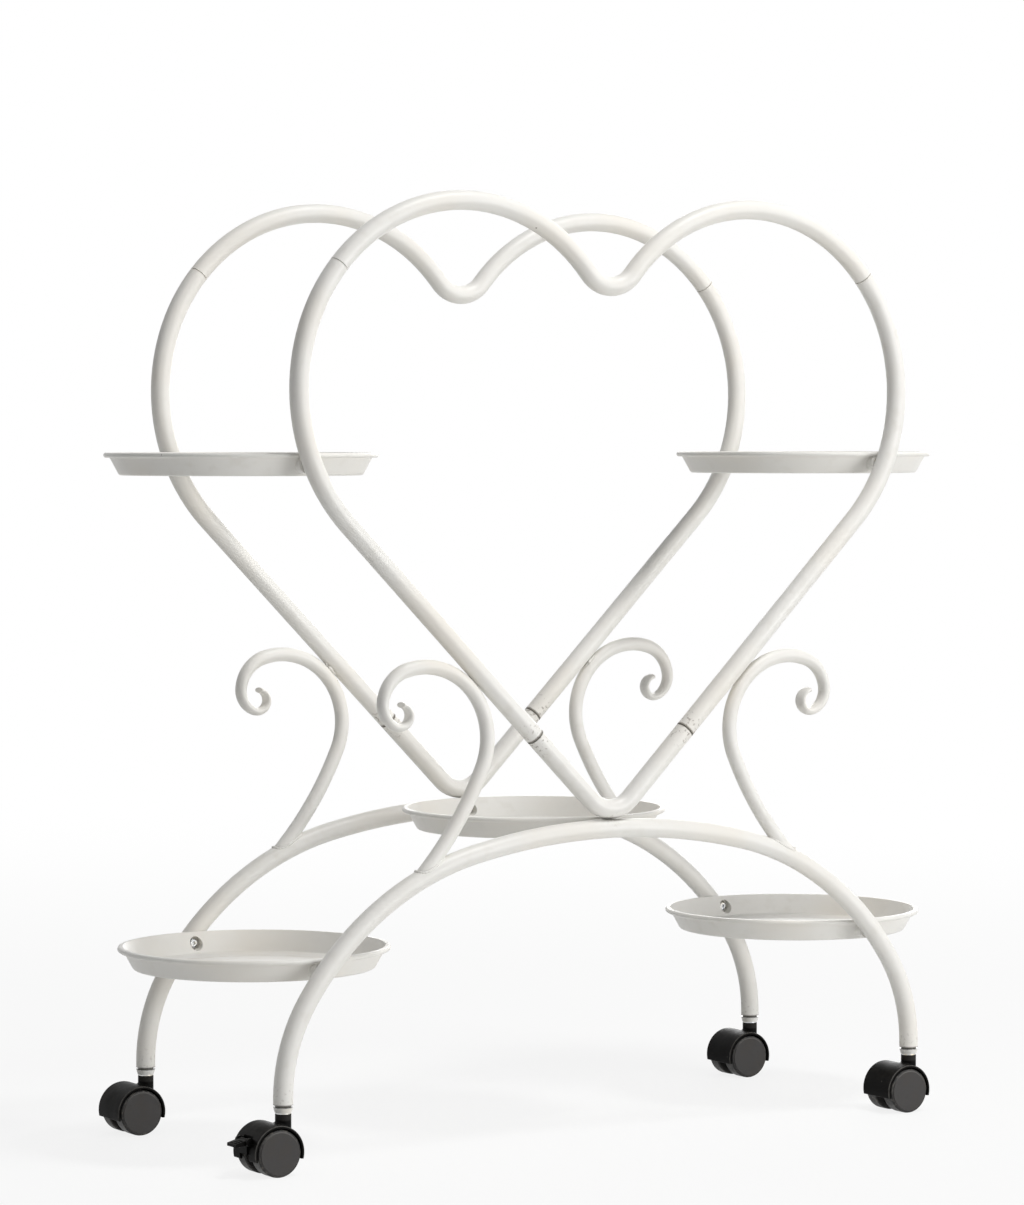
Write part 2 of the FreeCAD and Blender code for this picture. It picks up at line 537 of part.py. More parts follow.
def make_foot(label, y):
    """The V-shaped tube on the arch, with a narrowed end on each arm."""
    body = new_body(label)
    sk = new_sketch(body, label + "_path")
    reach = SIZE["foot_reach"]
    x, x_expr, z, z_expr = diagonal_point(reach, d("foot_reach"))
    run = Run(sk, -x, z, -45.0)
    left = run.line(reach - SIZE["bend_r"])
    bend = run.arc(SIZE["bend_r"], -90.0)
    right = run.line(reach - SIZE["bend_r"])
    sk.addConstraint(Sketcher.Constraint("PointOnObject", bend[0], 3, -2))
    set_r(sk, bend[0], SIZE["bend_r"], d("bend_r"))
    set_y(sk, bend[0], 3, corner_z + SIZE["bend_r"] * S2, "%s + dims.bend_r * sqrt(2)" % CORNER_Z)
    set_x(sk, left[0], left[1], -x, x_expr)
    set_y(sk, left[0], left[1], z, z_expr)
    set_x(sk, right[0], right[2], x, x_expr)
    set_y(sk, right[0], right[2], z, z_expr)
    pipe(body, sk, label + "_tube", TUBE_RINGS, run.pieces)
    root = SIZE["spigot_root"]
    for side, word in ((-1, "left"), (1, "right")):
        base = label + "_" + word
        rooted, root_pieces = diagonal_line(
            body, base + "_root_path", side, reach - root, "dims.foot_reach - dims.spigot_root",
            reach - root / 4, "dims.foot_reach - dims.spigot_root / 4")
        pipe(body, rooted, base + "_root", ROOT_RINGS, root_pieces)
        narrow, narrow_pieces = diagonal_line(
            body, base + "_spigot_path", side, reach - root, "dims.foot_reach - dims.spigot_root",
            reach + SIZE["spigot_len"], "dims.foot_reach + dims.spigot_len")
        pipe(body, narrow, base + "_spigot", SPIGOT_RINGS, narrow_pieces)
    place(body, y=y)
    return body


# Heart side tube
def make_side(label, y, turn, inward):
    """One side of the heart: the diagonal and the outer part of a lobe, with plain ends."""
    body = new_body(label)
    sk = new_sketch(body, label + "_path")
    start = SIZE["foot_reach"] + SIZE["seam_gap"]
    x, x_expr, z, z_expr = diagonal_point(start, "dims.foot_reach + dims.seam_gap")
    tangent = (SIZE["lobe_x"] + SIZE["lobe_r"] / S2) * S2
    run = Run(sk, x, z, 45.0)
    line = run.line(tangent - start)
    arc = run.arc(SIZE["lobe_r"], -(45.0 + SIZE["top_seam"]))
    set_x(sk, line[0], line[1], x, x_expr)
    set_y(sk, line[0], line[1], z, z_expr)
    set_r(sk, arc[0], SIZE["lobe_r"], d("lobe_r"))
    set_x(sk, arc[0], 3, SIZE["lobe_x"], d("lobe_x"))
    set_y(sk, arc[0], 3, lobe_z, LOBE_Z)
    end_z = lobe_z + SIZE["lobe_r"] * math.sin(math.radians(SIZE["top_seam"]))
    set_y(sk, arc[0], arc[2], end_z, "%s + dims.lobe_r * sin(dims.top_seam * 1 deg)" % LOBE_Z)
    pipe(body, sk, label + "_tube", TUBE_RINGS, run.pieces)
    rivet_holes(body, label + "_hole", [(side_fix_x, SIDE_FIX_X, side_fix_z, SIDE_FIX_Z)], inward)
    place(body, y=y, turn=turn)
    return body


# Heart top
GAP_TURN = "(dims.seam_gap / dims.lobe_r * 180 / pi)"
gap_turn = math.degrees(SIZE["seam_gap"] / SIZE["lobe_r"])


def lobe_arc(body, name, side, low, low_expr, high, high_expr):
    """A stretch of one lobe's centre line between two angles above its centre."""
    sk = new_sketch(body, name)
    cx = side * SIZE["lobe_x"]
    if side > 0:
        ends = (math.radians(low), math.radians(high))
        low_pos, high_pos = 1, 2
    else:
        ends = (math.pi - math.radians(high), math.pi - math.radians(low))
        low_pos, high_pos = 2, 1
    circle = Part.Circle(VEC(cx, lobe_z, 0), VEC(0, 0, 1), SIZE["lobe_r"])
    geo = sk.addGeometry(Part.ArcOfCircle(circle, ends[0], ends[1]), False)
    set_r(sk, geo, SIZE["lobe_r"], d("lobe_r"))
    set_x(sk, geo, 3, cx, d("lobe_x"))
    set_y(sk, geo, 3, lobe_z, LOBE_Z)
    for pos, angle, expr in ((low_pos, low, low_expr), (high_pos, high, high_expr)):
        z = lobe_z + SIZE["lobe_r"] * math.sin(math.radians(angle))
        set_y(sk, geo, pos, z, "%s + dims.lobe_r * sin((%s) * 1 deg)" % (LOBE_Z, expr))
    return sk, [(geo, low_pos, high_pos)]


def make_top(label, y):
    """Both lobes and the cleft in one tube, with a narrowed end at each seam."""
    body = new_body(label)
    sk = new_sketch(body, label + "_path")
    r = SIZE["lobe_r"]
    bend = SIZE["bend_r"]
    seam = SIZE["top_seam"] + gap_turn
    seam_expr = "dims.top_seam + %s" % GAP_TURN
    rise = math.sqrt((r + bend) ** 2 - SIZE["lobe_x"] ** 2)
    inner = 180.0 - math.degrees(math.atan2(rise, SIZE["lobe_x"]))
    angle = math.radians(seam)
    run = Run(sk, SIZE["lobe_x"] + r * math.cos(angle), lobe_z + r * math.sin(angle), seam + 90.0)
    right = run.arc(r, -(inner - seam))
    cleft = run.arc(bend, 2 * (inner - 90.0))
    left = run.arc(r, -(inner - seam))
    for piece, side in ((right, 1), (left, -1)):
        set_r(sk, piece[0], r, d("lobe_r"))
        set_x(sk, piece[0], 3, side * SIZE["lobe_x"], d("lobe_x"))
        set_y(sk, piece[0], 3, lobe_z, LOBE_Z)
    end_z = lobe_z + r * math.sin(angle)
    end_expr = "%s + dims.lobe_r * sin((%s) * 1 deg)" % (LOBE_Z, seam_expr)
    set_y(sk, right[0], right[1], end_z, end_expr)
    set_y(sk, left[0], left[2], end_z, end_expr)
    set_r(sk, cleft[0], bend, d("bend_r"))
    pipe(body, sk, label + "_tube", TUBE_RINGS, run.pieces)
    root = math.degrees(SIZE["spigot_root"] / r)
    root_expr = "dims.spigot_root / dims.lobe_r * 180 / pi"
    reach = math.degrees(SIZE["spigot_len"] / r)
    reach_expr = "dims.spigot_len / dims.lobe_r * 180 / pi"
    for side, word in ((-1, "left"), (1, "right")):
        base = label + "_" + word
        rooted, root_pieces = lobe_arc(
            body, base + "_root_path", side, seam + root / 4, "%s + %s / 4" % (seam_expr, root_expr),
            seam + root, "%s + %s" % (seam_expr, root_expr))
        pipe(body, rooted, base + "_root", ROOT_RINGS, root_pieces)
        narrow, narrow_pieces = lobe_arc(
            body, base + "_spigot_path", side, seam - reach, "%s - %s" % (seam_expr, reach_expr),
            seam + root, "%s + %s" % (seam_expr, root_expr))
        pipe(body, narrow, base + "_spigot", SPIGOT_RINGS, narrow_pieces)
    place(body, y=y)
    return body


# Outlines that are revolved or padded
def outline(sk, points):
    """A closed outline of straight lines. Each point is (x, x expression, y, y expression).

    An expression of None puts the point on that axis.
    """
    count = len(points)
    geos = []
    for i in range(count):
        a = points[i]
        b = points[(i + 1) % count]
        geos.append(sk.addGeometry(Part.LineSegment(VEC(a[0], a[2], 0), VEC(b[0], b[2], 0)), False))
    for i in range(count):
        sk.addConstraint(Sketcher.Constraint("Coincident", geos[i - 1], 2, geos[i], 1))
    for geo, (x, x_expr, y, y_expr) in zip(geos, points):
        if x_expr is None:
            sk.addConstraint(Sketcher.Constraint("PointOnObject", geo, 1, -2))
        else:
            set_x(sk, geo, 1, x, x_expr)
        if y_expr is None:
            sk.addConstraint(Sketcher.Constraint("PointOnObject", geo, 1, -1))
        else:
            set_y(sk, geo, 1, y, y_expr)
    return geos


def revolve(body, sk, name, kind="PartDesign::Revolution", axis="V_Axis"):
    feature = body.newObject(kind, name)
    feature.Profile = sk
    feature.ReferenceAxis = (sk, [axis])
    feature.Angle = 360.0
    body.Tip = feature
    doc.recompute()
    return feature


def pad(body, sk, name, length, midplane=False, reverse=False):
    feature = body.newObject("PartDesign::Pad", name)
    feature.Profile = sk
    feature.setExpression("Length", length)
    if midplane:
        feature.SideType = "Symmetric"
    feature.Reversed = reverse
    body.Tip = feature
    doc.recompute()
    return feature


def pocket(body, sk, name, length, midplane=False, reverse=False):
    feature = body.newObject("PartDesign::Pocket", name)
    feature.Profile = sk
    feature.Type = "Length"
    feature.setExpression("Length", length)
    if midplane:
        feature.SideType = "Symmetric"
    feature.Reversed = reverse
    body.Tip = feature
    before = feature.BaseFeature.Shape.Volume if feature.BaseFeature else 0.0
    doc.recompute()
    if before and feature.Shape.Volume > before - 1e-3:
        raise RuntimeError(name + " cuts nothing")
    return feature


def circle_at(sk, x, x_expr, y, y_expr, r, r_expr):
    geo = sk.addGeometry(Part.Circle(VEC(x, y, 0), VEC(0, 0, 1), r), False)
    set_r(sk, geo, r, r_expr)
    if x_expr is None:
        sk.addConstraint(Sketcher.Constraint("PointOnObject", geo, 3, -2))
    else:
        set_x(sk, geo, 3, x, x_expr)
    if y_expr is None:
        sk.addConstraint(Sketcher.Constraint("PointOnObject", geo, 3, -1))
    else:
        set_y(sk, geo, 3, y, y_expr)
    return geo


# How close an edge must be to the place that it is looked for at
NEAR = 0.02


def ring_edges(shape, radius, z):
    """Names of the full circular edges with this radius at this height."""
    found = []
    for number, edge in enumerate(shape.Edges, start=1):
        curve = edge.Curve
        if not isinstance(curve, Part.Circle):
            continue
        if abs(curve.Radius - radius) < NEAR and abs(curve.Center.z - z) < NEAR:
            found.append("Edge%d" % number)
    return found


def fillet(body, name, edges, radius):
    """Round some edges of a body's last feature. radius is an expression."""
    base = body.Tip
    feature = body.newObject("PartDesign::Fillet", name)
    feature.Base = (base, edges)
    feature.setExpression("Radius", radius)
    body.Tip = feature
    doc.recompute()
    return feature


# Tray
def make_tray(label, x, z):
    """A pressed dish with a rolled rim and two pressed cups, front and back, for its screws."""
    body = new_body(label)
    tray_r = SIZE["frame_spacing"] / 2 - SIZE["tube_d"] / 2 - SIZE["tray_rim_play"]
    h = SIZE["tray_h"]
    rim = SIZE["rim_d"]
    wall_r = SIZE["tray_wall_r"]
    sk = new_sketch(body, label + "_outer")
    corner = [
        VEC(0, 0, 0), VEC(SIZE["tray_floor_r"], 0, 0), VEC(wall_r, h - rim, 0),
        VEC(tray_r - rim / 2, h - rim, 0), VEC(tray_r - rim / 2, h, 0), VEC(0, h, 0),
    ]
    floor = sk.addGeometry(Part.LineSegment(corner[0], corner[1]), False)
    wall = sk.addGeometry(Part.LineSegment(corner[1], corner[2]), False)
    under = sk.addGeometry(Part.LineSegment(corner[2], corner[3]), False)
    circle = Part.Circle(VEC(tray_r - rim / 2, h - rim / 2, 0), VEC(0, 0, 1), rim / 2)
    bead = sk.addGeometry(Part.ArcOfCircle(circle, -math.pi / 2, math.pi / 2), False)
    over = sk.addGeometry(Part.LineSegment(corner[4], corner[5]), False)
    axis = sk.addGeometry(Part.LineSegment(corner[5], corner[0]), False)
    for a, b in ((floor, wall), (wall, under), (over, axis), (axis, floor)):
        sk.addConstraint(Sketcher.Constraint("Coincident", a, 2, b, 1))
    sk.addConstraint(Sketcher.Constraint("Tangent", under, 2, bead, 1))
    sk.addConstraint(Sketcher.Constraint("Tangent", bead, 2, over, 1))
    sk.addConstraint(Sketcher.Constraint("Coincident", floor, 1, -1, 1))
    sk.addConstraint(Sketcher.Constraint("Horizontal", floor))
    sk.addConstraint(Sketcher.Constraint("Vertical", axis))
    sk.addConstraint(Sketcher.Constraint("Horizontal", over))
    set_x(sk, floor, 2, SIZE["tray_floor_r"], d("tray_floor_r"))
    set_x(sk, wall, 2, wall_r, d("tray_wall_r"))
    set_y(sk, wall, 2, h - rim, "dims.tray_h - dims.rim_d")
    set_y(sk, over, 2, h, d("tray_h"))
    set_r(sk, bead, rim / 2, "dims.rim_d / 2")
    set_x(sk, bead, 3, tray_r - rim / 2, "%s - dims.rim_d / 2" % TRAY_R)
    dish = revolve(body, sk, label + "_dish")
    fillet(body, label + "_corner", ring_edges(dish.Shape, SIZE["tray_floor_r"], 0.0), d("tray_corner"))
    cups = new_sketch(body, label + "_cups")
    circle_at(cups, 0.0, None, SIZE["tray_fix"], d("tray_fix"), SIZE["cup_d"] / 2, "dims.cup_d / 2")
    pad(body, cups, label + "_cup", "2 * (%s - 2 * dims.tray_rim_play)" % NUT_FACE, midplane=True)
    # The inside of the dish, which also trims the cups to the wall
    hollow = new_sketch(body, label + "_inner")
    sheet_t = SIZE["tray_sheet"]
    slope = (wall_r - SIZE["tray_floor_r"]) / (h - rim)
    lean = math.sqrt(1 + slope * slope)
    slope_expr = "((dims.tray_wall_r - dims.tray_floor_r) / (dims.tray_h - dims.rim_d))"
    lean_expr = "sqrt(1 + %s * %s)" % (slope_expr, slope_expr)
    low_r = SIZE["tray_floor_r"] + slope * sheet_t - sheet_t * lean
    low_expr = "dims.tray_floor_r + %s * dims.tray_sheet - dims.tray_sheet * %s" % (slope_expr, lean_expr)
    top_z = h + sheet_t
    high_r = SIZE["tray_floor_r"] + slope * top_z - sheet_t * lean
    high_expr = "dims.tray_floor_r + %s * (dims.tray_h + dims.tray_sheet) - dims.tray_sheet * %s" % (
        slope_expr, lean_expr)
    outline(hollow, [
        (0.0, None, sheet_t, d("tray_sheet")),
        (low_r, low_expr, sheet_t, d("tray_sheet")),
        (high_r, high_expr, top_z, "dims.tray_h + dims.tray_sheet"),
        (0.0, None, top_z, "dims.tray_h + dims.tray_sheet"),
    ])
    inside = revolve(body, hollow, label + "_hollow", "PartDesign::Groove")
    fillet(body, label + "_inner_corner", ring_edges(inside.Shape, low_r, sheet_t),
           "dims.tray_corner - dims.tray_sheet")
    bores = new_sketch(body, label + "_bores")
    circle_at(bores, 0.0, None, SIZE["tray_fix"], d("tray_fix"),
              SIZE["cup_d"] / 2 - sheet_t, "dims.cup_d / 2 - dims.tray_sheet")
    pocket(body, bores, label + "_bore",
           "2 * (%s - 2 * dims.tray_rim_play - dims.tray_sheet)" % NUT_FACE, midplane=True)
    holes = new_sketch(body, label + "_holes")
    circle_at(holes, 0.0, None, SIZE["tray_fix"], d("tray_fix"),
              SIZE["screw_d"] / 2 + SIZE["screw_play"], "dims.screw_d / 2 + dims.screw_play")
    pocket(body, holes, label + "_hole", d("frame_spacing"), midplane=True)
    place(body, x=x, z=z)
    return body


# Fasteners
def make_screw():
    """A button-head screw along +Z: the head's underside is at the origin and the thread is above."""
    body = new_body("one_screw")
    sk = new_sketch(body, "screw_outline")
    r = SIZE["screw_d"] / 2
    hr = SIZE["head_d"] / 2
    hh = SIZE["head_h"]
    outline(sk, [
        (0.0, None, -hh, d("head_h")),
        (SIZE["head_flat_d"] / 2, "dims.head_flat_d / 2", -hh, d("head_h")),
        (SIZE["head_side_d"] / 2, "dims.head_side_d / 2", -SIZE["head_side_h"], d("head_side_h")),
        (hr, "dims.head_d / 2", 0.0, None),
        (r, "dims.screw_d / 2", 0.0, None),
        (r, "dims.screw_d / 2", SIZE["screw_len"], d("screw_len")),
        (0.0, None, SIZE["screw_len"], d("screw_len")),
    ])
    revolve(body, sk, "screw_turned")
    key = new_sketch(body, "screw_key", "XY_Plane")
    key.setExpression("AttachmentOffset.Base.z", "-dims.head_h")
    across = SIZE["hex_af"] / math.sqrt(3.0)
    corners = [VEC(across * math.cos(math.radians(60 * i)), across * math.sin(math.radians(60 * i)), 0)
               for i in range(6)]
    ring = key.addGeometry(Part.Circle(VEC(0, 0, 0), VEC(0, 0, 1), across), True)
    key.addConstraint(Sketcher.Constraint("Coincident", ring, 3, -1, 1))
    set_r(key, ring, across, "dims.hex_af / sqrt(3)")
    sides = [key.addGeometry(Part.LineSegment(corners[i], corners[(i + 1) % 6]), False) for i in range(6)]
    for i in range(6):
        key.addConstraint(Sketcher.Constraint("Coincident", sides[i - 1], 2, sides[i], 1))
        key.addConstraint(Sketcher.Constraint("PointOnObject", sides[i], 1, ring))
    for i in range(1, 6):
        key.addConstraint(Sketcher.Constraint("Equal", sides[0], sides[i]))
    key.addConstraint(Sketcher.Constraint("PointOnObject", sides[0], 1, -1))
    pocket(body, key, "screw_socket", d("hex_deep"), reverse=True)
    return body


def make_nut():
    """A rivet nut along +Z: its flange is below the origin and its body above."""
    body = new_body("one_nut")
    sk = new_sketch(body, "nut_outline")
    bore = SIZE["screw_d"] / 2 + SIZE["nut_fit"]
    bore_expr = "dims.screw_d / 2 + dims.nut_fit"
    outline(sk, [
        (bore, bore_expr, -SIZE["nut_flange_h"], d("nut_flange_h")),
        (SIZE["nut_flange_d"] / 2, "dims.nut_flange_d / 2", -SIZE["nut_flange_h"], d("nut_flange_h")),
        (SIZE["nut_flange_d"] / 2, "dims.nut_flange_d / 2", 0.0, None),
        (SIZE["nut_d"] / 2, "dims.nut_d / 2", 0.0, None),
        (SIZE["nut_d"] / 2, "dims.nut_d / 2", SIZE["nut_len"], d("nut_len")),
        (bore, bore_expr, SIZE["nut_len"], d("nut_len")),
    ])
    revolve(body, sk, "nut_turned")
    return body


TRAY_SPOTS = [
    ("left_leg_tray", "-" + LEG_FIX_X, LEG_FIX_Z),
    ("right_leg_tray", LEG_FIX_X, LEG_FIX_Z),
    ("apex_tray", "0", APEX_Z),
    ("left_side_tray", "-" + SIDE_FIX_X, SIDE_FIX_Z),
    ("right_side_tray", SIDE_FIX_X, SIDE_FIX_Z),
]


def make_group(label, source, depth_expr):
    """One fastener at the front and back of every tray, as a group of separate solids."""
    links = []
    for tray, x, z in TRAY_SPOTS:
        for side, word in ((-1, "front"), (1, "back")):
            link = doc.addObject("App::Link", "%s_%s_%s" % (label, tray, word))
            link.LinkedObject = source
            turn = FreeCAD.Rotation(VEC(0, 0, 1), VEC(0, side, 0))
            link.Placement = FreeCAD.Placement(VEC(0, 0, 0), turn)
            link.setExpression("Placement.Base.x", x)
            link.setExpression("Placement.Base.y", "%d * (%s)" % (side, depth_expr))
            link.setExpression("Placement.Base.z", z)
            links.append(link)
    group = doc.addObject("Part::Compound", label)
    group.Label = label
    group.Links = links
    doc.recompute()
    return group


# Caster
wheel_in = SIZE["web_t"] / 2 + SIZE["wheel_play"]
wheel_r = SIZE["wheel_d"] / 2
hood_in_r = wheel_r + SIZE["hood_clear"]
hood_out_r = hood_in_r + SIZE["hood_t"]
hood_w = 2 * (wheel_in + SIZE["wheel_w"] + SIZE["hood_over"])
plug_r = SIZE["tube_d"] / 2 - SIZE["tube_wall"] - SIZE["socket_fit"]
socket_low = SIZE["leg_end"] - SIZE["socket_gap"] - SIZE["socket_collar"]
neck_top = socket_low - SIZE["stem_flange_h"] - SIZE["swivel_play"]


def make_socket(label):
    """The white plug that closes a leg and holds the caster's stem."""
    body = new_body(label)
    sk = new_sketch(body, label + "_outline")
    bore = SIZE["stem_d"] / 2 + SIZE["stem_fit"]
    bore_expr = "dims.stem_d / 2 + dims.stem_fit"
    collar = SIZE["leg_end"] - SIZE["socket_gap"]
    collar_expr = "dims.leg_end - dims.socket_gap"
    top = SIZE["leg_end"] + SIZE["socket_plug_len"]
    top_expr = "dims.leg_end + dims.socket_plug_len"
    outline(sk, [
        (bore, bore_expr, socket_low, SOCKET_LOW),
        (SIZE["socket_low_d"] / 2, "dims.socket_low_d / 2", socket_low, SOCKET_LOW),
        (SIZE["tube_d"] / 2, TUBE_R, collar, collar_expr),
        (plug_r, PLUG_R, collar, collar_expr),
        (plug_r, PLUG_R, top, top_expr),
        (bore, bore_expr, top, top_expr),
    ])
    revolve(body, sk, label + "_moulded")
    return body


def make_stem(label):
    """The steel pin that the hood swivels on."""
    body = new_body(label)
    sk = new_sketch(body, label + "_outline")
    r = SIZE["stem_d"] / 2
    low = socket_low
    low_expr = SOCKET_LOW
    top = SIZE["leg_end"] + SIZE["socket_plug_len"] - SIZE["stem_tip_gap"]
    top_expr = "dims.leg_end + dims.socket_plug_len - dims.stem_tip_gap"
    flange = SIZE["stem_flange_d"] / 2
    outline(sk, [
        (0.0, None, SIZE["stem_low"], d("stem_low")),
        (r, "dims.stem_d / 2", SIZE["stem_low"], d("stem_low")),
        (r, "dims.stem_d / 2", low - SIZE["stem_flange_h"], low_expr + " - dims.stem_flange_h"),
        (flange, "dims.stem_flange_d / 2", low - SIZE["stem_flange_h"], low_expr + " - dims.stem_flange_h"),
        (flange, "dims.stem_flange_d / 2", low, low_expr),
        (r, "dims.stem_d / 2", low, low_expr),
        (r, "dims.stem_d / 2", top, top_expr),
        (0.0, None, top, top_expr),
    ])
    revolve(body, sk, label + "_turned")
    return body


def make_axle(label):
    body = new_body(label)
    sk = new_sketch(body, label + "_outline")
    circle_at(sk, -SIZE["trail"], d("trail"), wheel_r, "dims.wheel_d / 2",
              SIZE["axle_d"] / 2, "dims.axle_d / 2")
    pad(body, sk, label + "_pin", AXLE_LEN, midplane=True)
    return body


def make_wheel(label):
    """A moulded wheel about its own axis, inner face at z = 0 and outer face above."""
    body = new_body(label)
    sk = new_sketch(body, label + "_outline")
    bore = SIZE["axle_d"] / 2 + SIZE["axle_fit"]
    bore_expr = "dims.axle_d / 2 + dims.axle_fit"
    w = SIZE["wheel_w"]
    cap = SIZE["cap_h"]
    cap_r = wheel_r - SIZE["tread_round"] - SIZE["cap_edge"]
    dish_r = wheel_r - SIZE["wheel_rim"]
    deep = w + cap - SIZE["wheel_skin"]
    outline(sk, [
        (bore, bore_expr, 0.0, None),
        (SIZE["hub_d"] / 2, "dims.hub_d / 2", 0.0, None),
        (SIZE["hub_d"] / 2, "dims.hub_d / 2", SIZE["dish_deep"], d("dish_deep")),
        (dish_r, DISH_R, SIZE["dish_deep"], d("dish_deep")),
        (dish_r, DISH_R, 0.0, None),
        (wheel_r, "dims.wheel_d / 2", 0.0, None),
        (wheel_r, "dims.wheel_d / 2", w, d("wheel_w")),
        (cap_r, CAP_R, w, d("wheel_w")),
        (cap_r, CAP_R, w + cap, "dims.wheel_w + dims.cap_h"),
        (0.0, None, w + cap, "dims.wheel_w + dims.cap_h"),
        (0.0, None, deep, BORE_DEEP),
        (bore, bore_expr, deep, BORE_DEEP),
    ])
    turned = revolve(body, sk, label + "_turned")
    tread = ring_edges(turned.Shape, wheel_r, 0.0) + ring_edges(turned.Shape, wheel_r, w)
    rounded = fillet(body, label + "_tread", tread, d("tread_round"))
    fillet(body, label + "_cap", ring_edges(rounded.Shape, cap_r, w + cap), d("cap_round"))
    return body


def hood_edges(shape):
    """The rims of the half-round block that the hood is cut from, and its two outer ends."""
    found = []
    for number, edge in enumerate(shape.Edges, start=1):
        curve = edge.Curve
        middle = edge.valueAt((edge.FirstParameter + edge.LastParameter) / 2)
        if isinstance(curve, Part.Circle) or abs(middle.y) < NEAR:
            found.append("Edge%d" % number)
    return found


def neck_edges(shape):
    """The edges where the neck runs into the hood's round top."""
    found = []
    neck_r = SIZE["neck_d"] / 2
    for number, edge in enumerate(shape.Edges, start=1):
        points = edge.discretize(5)
        on_neck = all(abs(math.hypot(v.x, v.y) - neck_r) < NEAR for v in points)
        between = all(SIZE["neck_low"] - NEAR < v.z < neck_top - NEAR for v in points)
        if on_neck and between and not isinstance(edge.Curve, (Part.Circle, Part.Line)):
            found.append("Edge%d" % number)
    return found


